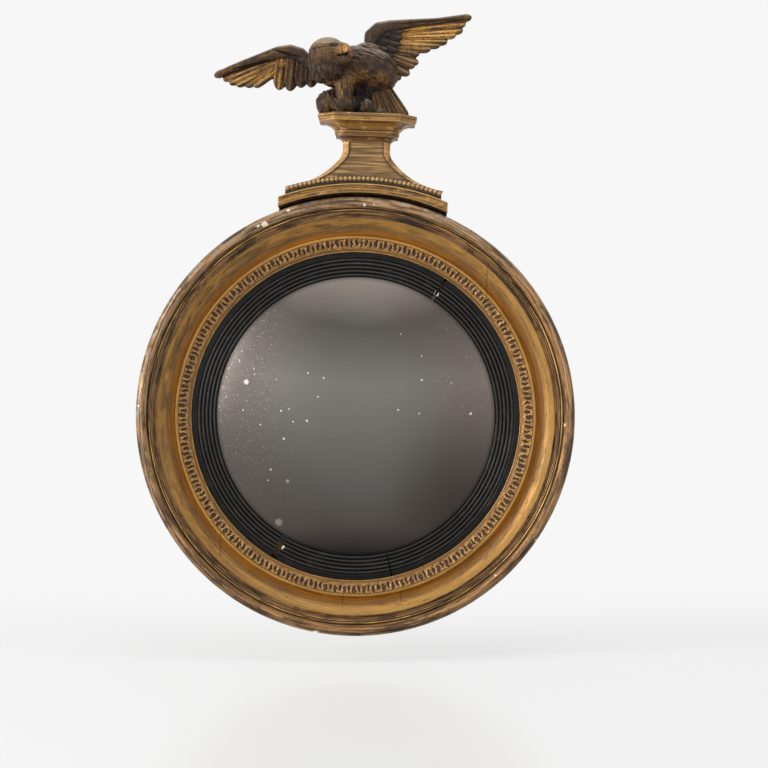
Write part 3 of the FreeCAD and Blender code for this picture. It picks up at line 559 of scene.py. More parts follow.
# losses of the silvering seen through the glass: (x, z, radius, share of white), in millimetres
FOXING = (
    (-152, 42, 4.4, 0.9), (-142, 60, 1.3, 0.8), (-141, 53, 1.2, 0.7), (-163, 70, 1.3, 0.7),
    (-67, 57, 1.6, 0.9), (-45, 51, 1.7, 1.0), (-52, 25, 1.6, 0.9), (-91, 7, 1.5, 0.8),
    (-102, 4, 1.9, 0.9), (-66, -8, 2.1, 1.0), (-85, -10, 1.5, 0.9), (-130, -16, 1.5, 0.8),
    (-155, 3, 1.4, 0.8), (-97, -34, 2.0, 1.0), (-110, 47, 1.3, 0.7), (-114, -77, 2.6, 0.5),
    (-90, -92, 3.2, 0.4), (-117, -92, 1.5, 0.8), (-101, -150, 7.0, 0.3), (58, 115, 1.2, 0.7),
    (88, 86, 1.6, 0.8), (89, 53, 1.8, 1.0), (58, 11, 1.9, 0.9), (87, 7, 1.5, 0.8), (158, 9, 2.6, 1.0),
    (130, 50, 1.4, 0.7),
)


def mirror_silver():
    """Old mercury silvering under convex glass: grey, uneven, with small white losses."""
    g = Graph("mirror_glass")
    radius = g.radius()
    clouds = g.noise(g.place, 9.0, 4.0, 0.5)
    edge = g.plus(g.band(radius, 0.05, 0.19), g.swing(clouds, 0.8))
    colour = g.mix(g.band(edge, 0.0, 1.0), srgb(168, 167, 159), srgb(166, 153, 146))
    brushed = g.noise(g.stretched(14, 1, 260), 1.0, 3.0)
    colour = g.mix(g.band(brushed, 0.55, 0.75, 0.0, 0.12), colour, srgb(110, 104, 98))

    x, _, z = g.split(g.place)
    pale_side = g.times(g.band(x, -0.02, -0.12), g.band(z, -0.06, 0.05, 0.0, 0.45))
    colour = g.mix(pale_side, colour, srgb(205, 194, 186))
    dull_side = g.times(g.band(x, 0.02, 0.15), g.band(z, 0.08, -0.13, 0.12, 0.75))
    colour = g.mix(dull_side, colour, srgb(96, 84, 80))
    left = g.times(g.band(x, -0.055, -0.13), g.band(z, -0.17, -0.02))
    right = g.times(g.band(x, 0.075, 0.125, 0.0, 0.6), g.band(z, -0.03, 0.02))
    bloom = g.greater(left, right)
    cells = g.add("ShaderNodeTexVoronoi", {"Vector": g.place, "Scale": 420.0, "Randomness": 1.0})
    chance = g.split(cells.outputs["Color"])[0]
    fine = g.times(g.band(cells.outputs["Distance"], 0.30, 0.10), g.band(chance, 0.86, 0.97))
    haze = g.band(g.noise(g.place, 420.0, 2.0), 0.60, 0.75, 0.0, 0.35)
    spotted = g.times(bloom, g.greater(g.times(fine, 0.5), haze))
    wander = g.vector("MULTIPLY", g.vector("SUBTRACT", g.add("ShaderNodeTexNoise", {
        "Vector": g.place, "Scale": 520.0, "Detail": 1.0}).outputs[1], (0.5, 0.5, 0.5)), (0.0016,) * 3)
    flat = g.vector("MULTIPLY", g.vector("ADD", g.place, wander), (1, 0, 1))
    for at_x, at_z, size, white in FOXING:
        away = g.add("ShaderNodeVectorMath", {0: flat, 1: (at_x * MM, 0, at_z * MM)}, operation="DISTANCE")
        spot = g.band(away.outputs["Value"], size * MM * 0.95, size * MM * 0.45, 0.0, white)
        spotted = g.greater(spotted, spot)
    colour = g.mix(spotted, colour, srgb(232, 230, 224))
    # painted shade cast by the slip's lip: a dark band just inside the sight edge
    rim = g.band(radius, 0.186, 0.1935, 0.0, 0.6)
    colour = g.mix(rim, colour, srgb(50, 44, 40))
    metal = g.minus(1.0, spotted)
    gloss = g.plus(g.band(clouds, 0.3, 0.7, 0.10, 0.17), g.times(spotted, 0.4))
    return g.finish(colour, metal, gloss, Coat_Weight=0.25, Coat_Roughness=0.04)


def gilt_crest(name, base, shade, metal_high=0.45, streak=(9, 90, 250), rub_and_highlight=0.6):
    """Gilding on the pedestal's straight mouldings, with painted shade in hollows and a painted highlight on
    worn edges.
    """
    g = Graph(name)
    streaks = g.noise(g.stretched(*streak), 1.0, 4.0, 0.62)
    patches = g.noise(g.place, 70.0, 4.0, 0.6)
    blots = g.noise(g.stretched(60, 60, 160), 1.0, 4.0, 0.62)
    colour = g.mix(g.band(streaks, 0.42, 0.62), base, shade)
    colour = g.mix(g.band(patches, 0.50, 0.66, 0.0, 0.75), colour, srgb(80, 56, 32))
    colour = g.mix(g.band(blots, 0.46, 0.34, 0.0, 0.6), colour, srgb(224, 178, 108))
    specks = g.band(g.noise(g.place, 800.0, 2.0), 0.62, 0.72, 0.0, 0.6)
    colour = g.mix(specks, colour, GRIME)
    # painted shade where the surface bends in, and a painted highlight with wear where it bends out at the
    # arrises, as strong as the last argument says
    bend = g.add("ShaderNodeNewGeometry").outputs["Pointiness"]
    colour = g.mix(g.band(bend, 0.495, 0.455, 0.0, 0.85), colour, srgb(44, 30, 18))
    colour = g.mix(g.band(bend, 0.505, 0.545, 0.0, rub_and_highlight), colour, srgb(228, 184, 116))
    sunk = g.attribute("sunk")
    panel = g.ramp(streaks, [(0.34, srgb(196, 154, 92)), (0.45, srgb(146, 112, 68)),
                             (0.56, srgb(104, 79, 49)), (0.70, srgb(62, 46, 30))])
    colour = g.mix(sunk, colour, panel)
    # painted shade where the dark value is set: round the sunk panel and on the bead rail behind the beads
    colour = g.mix(g.attribute("dark"), colour, srgb(34, 24, 15))
    metal = g.times(g.band(streaks, 0.65, 0.4, 0.12, metal_high), g.band(sunk, 0.0, 1.0, 1.0, 0.5))
    gloss = g.band(patches, 0.3, 0.75, 0.36, 0.6)
    height = g.plus(streaks, g.noise(g.place, 500.0, 3.0))
    return g.finish(colour, metal, gloss, height, 0.2)


def carved_gilding():
    """The eagle: bole, dirt and painted shade in the cuts, ochre gold on the ridges, pale dust and a painted
    highlight on top.
    """
    g = Graph("gilt_carving")
    relief = g.attribute("relief")
    gilded = g.attribute("gilded")
    patches = g.noise(g.place, 70.0, 4.0, 0.62)
    strokes = g.noise(g.join(g.times(g.attribute("across"), 0.8),
                             g.times(g.attribute("along"), 0.09), patches), 1.0, 4.0, 0.6)
    mottle = g.noise(g.place, 260.0, 4.0, 0.65)
    # the relief values carry painted shade in cuts and creases and painted highlights on the head, so lower
    # levels read darker
    level = g.plus(g.times(relief, 0.62), g.times(strokes, 0.42))
    level = g.plus(level, g.swing(mottle, 0.5))
    base = g.ramp(level, [(0.20, srgb(16, 10, 6)), (0.36, srgb(34, 23, 14)), (0.50, srgb(60, 41, 25)),
                          (0.66, srgb(98, 72, 46)), (0.90, srgb(148, 116, 80))])
    gold = g.ramp(level, [(0.22, srgb(30, 19, 9)), (0.36, srgb(66, 43, 19)), (0.48, srgb(122, 84, 36)),
                          (0.62, srgb(186, 136, 62)), (0.90, srgb(226, 184, 112))])
    shine = g.times(gilded, g.band(patches, 0.32, 0.60, 0.25, 1.0), clamp=True)
    colour = g.mix(shine, base, gold)
    # dust and a painted highlight: surfaces that face up, towards the top lamp, turn pale grey
    up = g.split(g.add("ShaderNodeNewGeometry").outputs["Normal"])[2]
    dust = g.times(g.band(up, 0.35, 0.90), g.band(level, 0.25, 0.55, 0.15, 1.0))
    dust = g.times(dust, g.band(patches, 0.25, 0.60, 0.40, 0.90))
    dust = g.times(dust, g.band(shine, 0.0, 0.8, 1.0, 0.35))
    colour = g.mix(dust, colour, srgb(172, 156, 138))
    metal = g.times(shine, g.band(level, 0.35, 0.8, 0.05, 0.45))
    gloss = g.band(patches, 0.3, 0.7, 0.46, 0.66)
    height = g.plus(strokes, mottle)
    return g.finish(colour, metal, gloss, height, 0.25, Specular_IOR_Level=0.32)


def pine(name, light, dark, ring_grain):
    """Bare old pine of the back: grain, knots, stains; dark where black wash reached its outer side, and
    painted shade on the ledge seen through the slip's joints.
    """
    g = Graph(name)
    where = g.ringwise(7, 420) if ring_grain else g.stretched(420, 60, 9)
    grain = g.noise(where, 1.0, 5.0, 0.65)
    stain = g.noise(g.place, 14.0, 4.0)
    colour = g.mix(g.band(grain, 0.36, 0.66), light, dark)
    colour = g.mix(g.band(stain, 0.44, 0.78, 0.0, 0.45), colour, srgb(96, 76, 54))
    fibres = g.noise(g.ringwise(20, 1500) if ring_grain else g.stretched(1500, 200, 26), 1.0, 2.0)
    colour = g.mix(g.band(fibres, 0.60, 0.75, 0.0, 0.4), colour, srgb(70, 54, 40))
    y = g.split(g.place)[1]
    # painted shade on the front of the ledge behind the slip; the outer side wall is black wash
    inside = g.times(g.band(y, -0.0075, -0.0095), g.band(g.radius(), 0.2365, 0.2345))
    outside = g.band(g.radius(), 0.2848, 0.2856)
    colour = g.mix(g.greater(inside, outside), colour, srgb(26, 22, 19))
    return g.finish(colour, 0.0, g.band(grain, 0.3, 0.7, 0.62, 0.8), g.plus(grain, fibres), 0.25)


def old_metal(name, bright, dull, metal, gloss):
    """Worn metal with a patchy brown or black skin."""
    g = Graph(name)
    patches = g.noise(g.place, 160.0, 4.0, 0.6)
    pits = g.noise(g.place, 1400.0, 3.0)
    share = g.band(g.plus(patches, g.times(pits, 0.25)), 0.48, 0.78)
    colour = g.mix(share, bright, dull)
    metal_here = g.band(share, 0.0, 1.0, metal, metal * 0.4)
    return g.finish(colour, metal_here, g.band(share, 0.0, 1.0, gloss, 0.75), pits, 0.1)


def silver_back():
    """Grey protective paint on the back of the silvering."""
    g = Graph("silvering_back")
    patches = g.noise(g.place, 30.0, 4.0)
    colour = g.mix(g.band(patches, 0.4, 0.7), srgb(120, 118, 114), srgb(84, 80, 76))
    return g.finish(colour, 0.3, g.band(patches, 0.3, 0.7, 0.4, 0.6), g.noise(g.place, 500.0), 0.05)


# ---------------------------------------------------------------- round frame

def front_section():
    """Outline of the front moulding, from the torus to the sight edge."""
    moves = [
        ((REAR_RING_R, REAR_DEPTH),),
        ((REAR_RING_R + 2, REAR_DEPTH + 1.5),),
        ((REAR_RING_R + 4, REAR_DEPTH + 13), on_circle(TORUS_CENTRE, TORUS_R, -40)),
        (on_circle(TORUS_CENTRE, TORUS_R, 60), on_circle(TORUS_CENTRE, TORUS_R, 151.6)),
        ((FRONT_BEAD_AT + FRONT_BEAD_R, FRONT_BEAD_DEPTH),),
        ((FRONT_BEAD_AT, FRONT_BEAD_DEPTH + FRONT_BEAD_R), (FRONT_BEAD_AT - FRONT_BEAD_R, FRONT_BEAD_DEPTH)),
    ]
    for reed in range(3):
        centre_r = FRONT_BEAD_AT - FRONT_BEAD_R - REED_R - reed * REED_PITCH
        base = FRONT_BEAD_DEPTH - (reed + 1) * REED_STEP
        moves.append(((centre_r + REED_R, base),))
        moves.append(((centre_r, base + REED_R), (centre_r - REED_R, base)))
    hollow_top = (HOLLOW_CENTRE[0] + HOLLOW_R, HOLLOW_CENTRE[1] - 1.2)
    moves += [
        ((HOLLOW_LIP_R + 1.2, HOLLOW_CENTRE[1] - 3.0),),
        ((HOLLOW_LIP_R + 0.9, HOLLOW_CENTRE[1] - 0.8),),
        ((HOLLOW_LIP_R - 0.1, HOLLOW_CENTRE[1] - 0.3), hollow_top),
        (on_circle(HOLLOW_CENTRE, HOLLOW_R, -45), on_circle(HOLLOW_CENTRE, HOLLOW_R, -90)),
        ((FILLET_OUT_R + 0.8, 30.6), (FILLET_OUT_R, FILLET_DEPTH - 1.2)),
        ((FILLET_OUT_R, FILLET_DEPTH),),
        ((FILLET_IN_R, FILLET_DEPTH),),
        (BED_OUT,),
        (BED_IN,),
        ((BED_IN[0], BED_IN[1] + 1.3),),
        ((SIGHT_R + 2.2, BED_IN[1]),),
        ((SIGHT_R + 2, BED_IN[1] - 0.8),),
        ((SIGHT_R + 1, BED_IN[1]), (SIGHT_R, BED_IN[1] - 0.8)),
        ((SIGHT_R, LIP_DEPTH),),
        ((SLIP_SEAT_R, LIP_DEPTH),),
    ]
    return softened(trace((SLIP_SEAT_R, REAR_DEPTH), moves, 1.1))


def moulding_blocks(material):
    """The six curved blocks of the front layer, worn and chipped."""
    section = front_section()
    normals = outward(section)
    span = 360.0 / FELLOE_COUNT
    for index in range(FELLOE_COUNT):
        angles = np.linspace(index * span, (index + 1) * span, 241)
        rows = ring_rows(section[None], angles)
        wear = 0.10 * (1 + rough(rows / 9.0, 3)) + 0.06 * (1 + noise(rows / 2.5, 9))
        bare = np.zeros(wear.shape)
        for round_deg, torus_deg, size, deep in TORUS_CHIPS:
            centre = np.array(on_circle(TORUS_CENTRE, TORUS_R, torus_deg))
            spot = ring_rows(centre[None, None], np.array([round_deg]))[0, 0]
            away = np.linalg.norm(rows - spot, axis=-1) * (1 + 0.35 * noise(rows / 2.0, 21))
            wear += deep * fade(away, size, 0.6 * size)
            bare = np.maximum(bare, fade(away, size, 0.75 * size))
        worn = section[None] - normals[None] * wear[..., None]
        made = loft(f"gilt_moulding_{index + 1}", ring_rows(worn, angles), material,
                    values={"bare": bare})
        settle(made, "gilt_wood", f"front_felloe_{index + 1}")


def leaf_height(across, inwards):
    """Height of the ornament, 0 to 1: across is -0.5..0.5 of a unit, inwards 0..1 from the fillet."""
    side = np.abs(across)
    half = 0.20 * np.sqrt(np.clip(1 - ((inwards - 0.36) / 0.42) ** 2, 0, 1))
    between = 0.15 * np.sqrt(np.clip(1 - ((inwards - 0.52) / 0.34) ** 2, 0, 1))
    in_loop = fade(half - side, 0.0, 0.06)
    in_gap = fade(between - 0.5 + side, 0.0, 0.06)
    tongue = 0.42 * hump(side, 0.045) * in_loop
    rim = 0.3 * hump(side - half - 0.045, 0.045) * fade(inwards, 0.9, 0.8)
    return np.clip(0.7 * (1 - np.maximum(in_loop, in_gap)) + tongue + rim, 0, 1)


def ornament_strips(material):
    """Four pressed strips of tongue and dart, each with its quarter of the units."""
    span = 360.0 / LEAF_STRIPS
    steps = 36 * LEAF_COUNT // LEAF_STRIPS
    inwards = np.linspace(0, 1, 30)
    outer, inner = np.array([BED_OUT[0] + 0.6, BED_OUT[1]]), np.array([BED_IN[0] - 0.4, BED_IN[1]])
    bed = outer + (inner - outer) * inwards[:, None]
    lift = np.array([-(BED_OUT[1] - BED_IN[1]), BED_OUT[0] - BED_IN[0]])
    lift /= np.linalg.norm(lift)
    for strip in range(LEAF_STRIPS):
        angles = np.linspace(strip * span, (strip + 1) * span, steps + 1)
        unit = angles * LEAF_COUNT / 360.0
        where = np.stack(np.broadcast_arrays(angles[:, None] / 1.6, inwards[None] * 4, 0.0), -1)
        across = (unit % 1.0)[:, None] - 0.5 + 0.09 * noise(where, 31)
        height = leaf_height(across, inwards[None] + 0.05 * noise(where, 33))
        height = np.clip(height * (0.84 + 0.38 * noise(where * 1.7, 35)), 0, 1)
        top = bed[None] + lift * (0.7 + 1.9 * height)[..., None]
        base = np.broadcast_to(np.array([inner, outer]), (len(angles), 2, 2))
        loops = np.concatenate([top, base], 1)
        relief = np.concatenate([height, np.zeros((len(angles), 2))], 1)
        made = loft(f"ornament_strip_{strip + 1}", ring_rows(loops, angles), material, sharp_deg=60,
                    values={"relief": relief})
        settle(made, "gilt_composition", f"leaf_moulding_{strip + 1}")


def glass_depth(radius, curve_r=GLASS_CURVE_R):
    """Depth of a sphere about the glass's centre of curvature."""
    centre = GLASS_EDGE_DEPTH - math.sqrt(GLASS_CURVE_R ** 2 - GLASS_R ** 2)
    return centre + np.sqrt(curve_r ** 2 - radius ** 2)


def slip_section():
    """Outline of the reeded slip."""
    moves = [((SLIP_OUT_R, SLIP_FRONT),), ((SLIP_BAND_R, SLIP_FRONT),)]
    pitch = (SLIP_BAND_R - SLIP_SIGHT_R) / SLIP_REEDS
    for reed in range(SLIP_REEDS):
        outer_r = SLIP_BAND_R - reed * pitch
        base = SLIP_FRONT - 1.6 - SLIP_DROP * reed / (SLIP_REEDS - 1)
        moves.append(((outer_r - 0.5, base),))
        moves.append(((outer_r - pitch / 2, base + 1.9), (outer_r - pitch, base - 0.3)))
    glass_gap = 0.3
    moves += [
        ((SLIP_SIGHT_R, glass_depth(SLIP_SIGHT_R) + glass_gap),),
        ((GLASS_R + 0.5, glass_depth(GLASS_R) + glass_gap),),
        ((GLASS_R + 0.5, SLIP_BACK),),
    ]
    return softened(trace((SLIP_OUT_R, SLIP_BACK), moves, 1.4))


def slip_pieces(material):
    """Three lengths of the black slip, shrunk apart at their joints."""
    section = slip_section()
    normals = outward(section)
    for index, (name, side, chip_r, size) in enumerate(SLIP_CHIPS):
        start, start_gap = SLIP_JOINTS[index]
        end, end_gap = SLIP_JOINTS[(index + 1) % 3]
        end += 360.0 if end < start else 0.0
        ends = (start + start_gap / 2, end - end_gap / 2)
        near = np.arange(12) * 0.12
        inner = np.linspace(ends[0] + 1.44, ends[1] - 1.44, int((ends[1] - ends[0]) / 0.4))
        angles = np.concatenate([ends[0] + near, inner, ends[1] - near[::-1]])
        rows = ring_rows(section[None], angles)
        wear = 0.03 * (1 + noise(rows / 30.0, 41))
        spot_angle = np.radians(ends[0] if side < 0 else ends[1])
        spot = np.array([chip_r * np.sin(spot_angle), 1.0 - SLIP_FRONT, chip_r * np.cos(spot_angle)])
        away = np.linalg.norm(rows - spot, axis=-1) * (1 + 0.3 * noise(rows, 43))
        wear += 0.5 * fade(away, size, 0.5 * size)
        bare = fade(away, size, 0.7 * size)
        worn = section[None] - normals[None] * wear[..., None]
        pitch = (SLIP_BAND_R - SLIP_SIGHT_R) / SLIP_REEDS
        off = (section[:, 0] - SLIP_SIGHT_R - 0.45 * pitch + pitch / 2) % pitch - pitch / 2
        reeded = (section[:, 0] < SLIP_BAND_R - 0.5) & (section[:, 1] > SLIP_FRONT - 5.0)
        crest = np.broadcast_to(hump(off, 0.75) * reeded, wear.shape)
        made = loft(f"ebonised_{name}", ring_rows(worn, angles), material, sharp_deg=55,
                    values={"bare": bare, "crest": crest})
        settle(made, "ebonised_wood", name)


def mirror_cap(material):
    """Convex glass with its silvering, as one fine cap with a rounded edge."""
    middle_r, edge_ease = 0.5, 0.5
    radii = np.concatenate([np.linspace(middle_r, GLASS_R - 0.8, 60), [GLASS_R - 0.2, GLASS_R]])
    front = np.stack([radii, glass_depth(radii)], -1)
    front[-1, 1] -= edge_ease
    back = np.stack([radii[::-1], glass_depth(radii[::-1], GLASS_CURVE_R - GLASS_THICK)], -1)
    loop = np.concatenate([front, back])
    angles = np.arange(0, 360, 1.5)
    rows = ring_rows(loop[None], angles)
    vertices = rows.reshape(-1, 3)
    count = len(loop)
    index = np.arange(len(angles) * count).reshape(len(angles), count)
    nxt = np.roll(index, -1, 0)
    faces = np.stack([index[:, :-1], index[:, 1:], nxt[:, 1:], nxt[:, :-1]], -1).reshape(-1, 4).tolist()
    faces += [index[:, 0][::-1].tolist(), index[:, -1].tolist()]
    made = piece("mirror_glass", vertices, facing_out(vertices, faces), material, sharp_deg=50)
    settle(made, "mirror_glass", "convex_glass")


# ---------------------------------------------------------------- pedestal

def rounded(corners, radius, steps, splits):
    """Closed outline with its corners rounded, and each side split into equal lengths."""
    corners = np.array(corners, float)
    count = len(corners)
    points = []
    for index in range(count):
        here, before, after = corners[index], corners[index - 1], corners[(index + 1) % count]
        to_before = (before - here) / np.linalg.norm(before - here)
        to_after = (after - here) / np.linalg.norm(after - here)
        first, last = here + to_before * radius, here + to_after * radius
        for t in np.linspace(0, 1, steps + 1):
            points.append((1 - t) ** 2 * first + 2 * t * (1 - t) * here + t ** 2 * last)
        end = after - to_after * radius
        for k in range(1, splits[index]):
            points.append(last + (end - last) * k / splits[index])
    return np.array(points)


def canted_loop(half, depth, cant, sunk=False):
    """Level section of the pedestal. The front may be a panel sunk between two narrow edges."""
    front = half - cant
    if sunk:
        lip, wall = 0.9, 0.5
        corners = [(-half, 0), (half, 0), (half, depth - cant), (front, depth), (front - lip, depth),
                   (front - lip - wall, depth - PANEL_SINK), (lip + wall - front, depth - PANEL_SINK),
                   (lip - front, depth), (-front, depth), (-half, depth - cant)]
        return rounded(corners, 0.22, 2, [3, 6, 3, 1, 1, 14, 1, 1, 3, 6])
    corners = [(-half, 0), (half, 0), (half, depth - cant), (front, depth), (-front, depth),
               (-half, depth - cant)]
    return rounded(corners, 0.5, 3, [3, 6, 4, 14, 4, 6])


def crest_size(half):
    """Depth and cant of the crest where it has a half width."""
    return np.interp(half, CREST_HALVES, CREST_DEPTHS), np.interp(half, CREST_HALVES, CREST_CANTS)


def turned_block(name, profile, material, size_at=crest_size, sunk=False):
    """Piece of the pedestal from its (half width, height) profile."""
    rows = []
    for half, z in profile:
        loop = canted_loop(half, *size_at(half), sunk)
        rows.append(np.column_stack([loop[:, 0] + CREST_SHIFT, -loop[:, 1], np.full(len(loop), z)]))
    rows = np.array(rows)
    drift = 0.10 * rough(rows / 8.0, 51)[..., None] * np.array([1, 1, 0.6])
    ends = np.zeros((len(rows), 1, 1))
    ends[1:-1] = 1
    rows = rows + drift * ends
    rows[..., 1] = np.minimum(rows[..., 1], 0)
    return loft(name, rows, material)


def pedestal_blocks(gilding, strips, shaded):
    """Neck, cap and top board, with the arrises rounded and the hollows traced."""
    neck = trace((WAIST_HALF, WAIST_TOP_Z), [
        ((WAIST_HALF + 2.6, NECK_LOW_Z - 2.6), (NECK_HALF - 1.0, NECK_LOW_Z)),
        ((NECK_HALF - 0.3, NECK_LOW_Z),),
        ((NECK_HALF, NECK_LOW_Z + 0.4),),
        ((NECK_HALF, NECK_HIGH_Z - 1.6),),
        ((NECK_HALF - 0.9, NECK_HIGH_Z - 1.2),),
        ((NECK_HALF - 0.9, NECK_HIGH_Z),),
    ], 0.8)
    cap = trace((NECK_HALF - 0.5, NECK_HIGH_Z), [
        ((NECK_HALF + 1.4, NECK_HIGH_Z + 0.1),),
        ((NECK_HALF + 1.9, NECK_HIGH_Z + 1.1), (NECK_HALF + 1.3, NECK_HIGH_Z + 2.0)),
        ((NECK_HALF + 0.3, NECK_HIGH_Z + 2.3),),
        ((NECK_HALF + 6.5, CAP_COVE_Z - 3.6), (CAP_HALF - 1.4, CAP_COVE_Z)),
        ((CAP_HALF - 0.3, CAP_COVE_Z + 0.1),),
        ((CAP_HALF, CAP_COVE_Z + 0.5),),
        ((CAP_HALF, CAP_HIGH_Z - 0.4),),
        ((CAP_HALF - 0.4, CAP_HIGH_Z),),
    ], 0.9)
    board = trace((TOP_HALF - 1.4, CAP_HIGH_Z), [
        ((TOP_HALF - 1.2, CAP_HIGH_Z + 1.6),),
        ((TOP_HALF - 0.4, CAP_HIGH_Z + 1.8),),
        ((TOP_HALF, CAP_HIGH_Z + 2.8), (TOP_HALF - 0.2, TOP_Z - 1.0)),
        ((TOP_HALF - 0.7, TOP_Z),),
    ], 0.7)
    settle(turned_block("pedestal_neck", neck, shaded), "gilt_wood", "pedestal_neck_moulding")
    settle(turned_block("pedestal_cap", cap, gilding), "gilt_wood", "pedestal_cap_moulding")
    settle(turned_block("pedestal_board", board, strips), "gilt_wood", "pedestal_top_board")


def waist_outline(steps=46):
    """Half width and height down the waisted body."""
    upper = np.radians(np.linspace(0, UPPER_ARC_DEG, steps // 3))
    lower = np.radians(np.linspace(UPPER_ARC_DEG, LOWER_ARC_DEG, steps))[1:]
    start = math.radians(UPPER_ARC_DEG)
    half = WAIST_HALF + UPPER_ARC_R * (1 - np.cos(upper))
    z = WAIST_Z - UPPER_ARC_R * np.sin(upper)
    half_low = half[-1] + LOWER_ARC_R * (math.cos(start) - np.cos(lower))
    z_low = z[-1] - LOWER_ARC_R * (np.sin(lower) - math.sin(start))
    straight = np.linspace(WAIST_TOP_Z, WAIST_Z, 6)[:-1]
    halves = np.concatenate([np.full(len(straight), WAIST_HALF), half, half_low])
    return np.column_stack([halves, np.concatenate([straight, z, z_low])])


def waist_size(half, foot_half):
    """Depth and cant of the waisted body where it has a half width."""
    down = (half - WAIST_HALF) / (foot_half - WAIST_HALF)
    return [a + (b - a) * down for a, b in zip(WAIST_SIZE, FOOT_SIZE)]


def waisted_body(material):
    """Waisted body with a sunk front panel, cut below to the curve of the bead rail."""
    profile = waist_outline()
    made = turned_block("pedestal_waist", profile, material,
                        lambda half: waist_size(half, profile[-1, 0]), sunk=True)
    cutter_angles = np.arange(-30, 30.1, 0.5)
    cut_in, cut_out, behind, before = 200.0, RAIL_HIGH_R + 0.2, -5.0, 70.0
    cutter_loop = np.array([(cut_in, behind), (cut_out, behind), (cut_out, before), (cut_in, before)])
    cutter = loft("cutter", ring_rows(cutter_loop[None], cutter_angles), material)
    trim = made.modifiers.new("trim", "BOOLEAN")
    trim.operation = "DIFFERENCE"
    trim.object = cutter
    graph = bpy.context.evaluated_depsgraph_get()
    made.data = bpy.data.meshes.new_from_object(made.evaluated_get(graph))
    made.modifiers.clear()
    bpy.data.objects.remove(cutter)
    mark_panel(made.data)
    settle(made, "gilt_wood", "pedestal_body")


def mark_panel(mesh):
    """Store which points lie in the sunk panel, and the painted shade line round it."""
    x, y, z = (vectors(mesh.vertices, "co") / MM).T
    profile = waist_outline()[::-1]
    half = np.interp(z, profile[:, 1], profile[:, 0])
    depth, cant = waist_size(half, profile[0, 0])
    inset = half - cant - np.abs(x - CREST_SHIFT)
    sunk = fade(inset, 0.4, 1.0) * fade(-y, depth - 3.0, depth - 2.4)
    # painted shade: a dark line round the panel, inside its lip
    dark = sunk * fade(inset, 3.4, 1.6) * 0.75
    store(mesh, "sunk", sunk)
    store(mesh, "dark", dark)


def arc_piece(name, section, half_width, material, values=None):
    """Moulding that follows the frame's curve between two upright ends."""
    shares = np.linspace(-1, 1, ARC_STATIONS)
    x = shares[:, None] * half_width
    radius, depth = section[None, :, 0], section[None, :, 1]
    rows = np.stack(np.broadcast_arrays(x, -depth, np.sqrt(radius ** 2 - x ** 2)), -1)
    inner = np.ones((len(shares), 1, 1))
    inner[[0, -1]] = 0
    drift = 0.12 * rough(rows / 7.0, 57)[..., None] * np.array([0, 1, 1]) * inner
    rows = rows + drift
    rows[..., 1] = np.minimum(rows[..., 1], 0)
    return loft(name, rows, material, values=values)


def arc_mouldings(gilding, beads, black):
    """Saddle, base moulding and bead rail."""
    saddle = rounded([(SADDLE_LOW_R, 0), (SADDLE_HIGH_R, 0), (SADDLE_HIGH_R, SADDLE_DEPTH),
                      (SADDLE_LOW_R, SADDLE_DEPTH)], 0.5, 3, [6, 6, 6, 4])
    settle(arc_piece("saddle", saddle, PED_BASE_HALF, black), "ebonised_wood", "pedestal_saddle")

    base = softened(trace((BASE_LOW_R, 0), [
        ((BASE_HIGH_R, 0),),
        ((BASE_HIGH_R, BASE_DEPTH - 4.4),),
        ((BASE_HIGH_R - 0.5, BASE_DEPTH - 3.8),),
        ((BASE_HIGH_R - 1.8, BASE_DEPTH - 3.8),),
        ((BASE_HIGH_R - 2.1, BASE_DEPTH - 4.6),),
        ((BASE_HIGH_R - 5.2, BASE_DEPTH - 4.4), (BASE_LOW_R + 5.6, BASE_DEPTH - 1.2)),
        ((BASE_LOW_R + 5.4, BASE_DEPTH - 0.2),),
        ((BASE_LOW_R + 3.0, BASE_DEPTH + 0.0), (BASE_LOW_R + 0.8, BASE_DEPTH - 0.2)),
        ((BASE_LOW_R, BASE_DEPTH - 1.0),),
    ], 0.8))
    settle(arc_piece("base_moulding", base, PED_BASE_HALF, gilding), "gilt_wood", "pedestal_base_moulding")

    rail = rounded([(BASE_HIGH_R + 0.2, 0), (RAIL_HIGH_R, 0), (RAIL_HIGH_R, RAIL_DEPTH - 0.6),
                    (RAIL_HIGH_R - 0.8, RAIL_DEPTH), (BASE_HIGH_R + 1.0, RAIL_DEPTH),
                    (BASE_HIGH_R + 0.2, RAIL_DEPTH - 0.8)], 0.3, 2, [3, 8, 1, 6, 1, 8])
    # painted shade on the rail's front face, behind and between the beads
    face = np.broadcast_to((rail[:, 1] > RAIL_DEPTH - 1.0) * 0.85, (ARC_STATIONS, len(rail)))
    made = arc_piece("bead_rail", rail, RAIL_HALF, beads, {"dark": face})
    join_beads(made, beads)
    settle(made, "gilt_composition", "pedestal_bead_rail")


def join_beads(rail, material):
    """Row of round beads along the rail's front, each a little different."""
    reach = math.degrees(math.asin((RAIL_HALF - BEAD_R) / BEAD_LINE_R))
    rings = 14
    around = 20
    polar = np.radians(np.linspace(0, 125, rings))
    turn = np.radians(np.arange(around) * 360.0 / around)
    made = [rail]
    for index in range(BEAD_COUNT):
        angle = math.radians(-reach + 2 * reach * index / (BEAD_COUNT - 1))
        size = BEAD_R * (0.97 + 0.04 * float(lattice(np.array([index, 3, 1]), 5)))
        flat = np.sin(polar)[:, None] * size
        sideways = flat * np.cos(turn)
        upright = flat * np.sin(turn)
        out = np.broadcast_to(np.cos(polar)[:, None] * size * 0.95, sideways.shape)
        radius = BEAD_LINE_R + upright
        x = radius * math.sin(angle) + sideways * math.cos(angle)
        z = radius * math.cos(angle) - sideways * math.sin(angle)
        ball = np.stack([x, -(RAIL_DEPTH + 0.9 + out), z], -1)
        made.append(loft(f"bead_{index}", ball, material))
    merge(made)


def merge(objects):
    """Join mesh objects into the first one."""
    with bpy.context.temp_override(active_object=objects[0], selected_editable_objects=objects):
        bpy.ops.object.join()


# ---------------------------------------------------------------- eagle

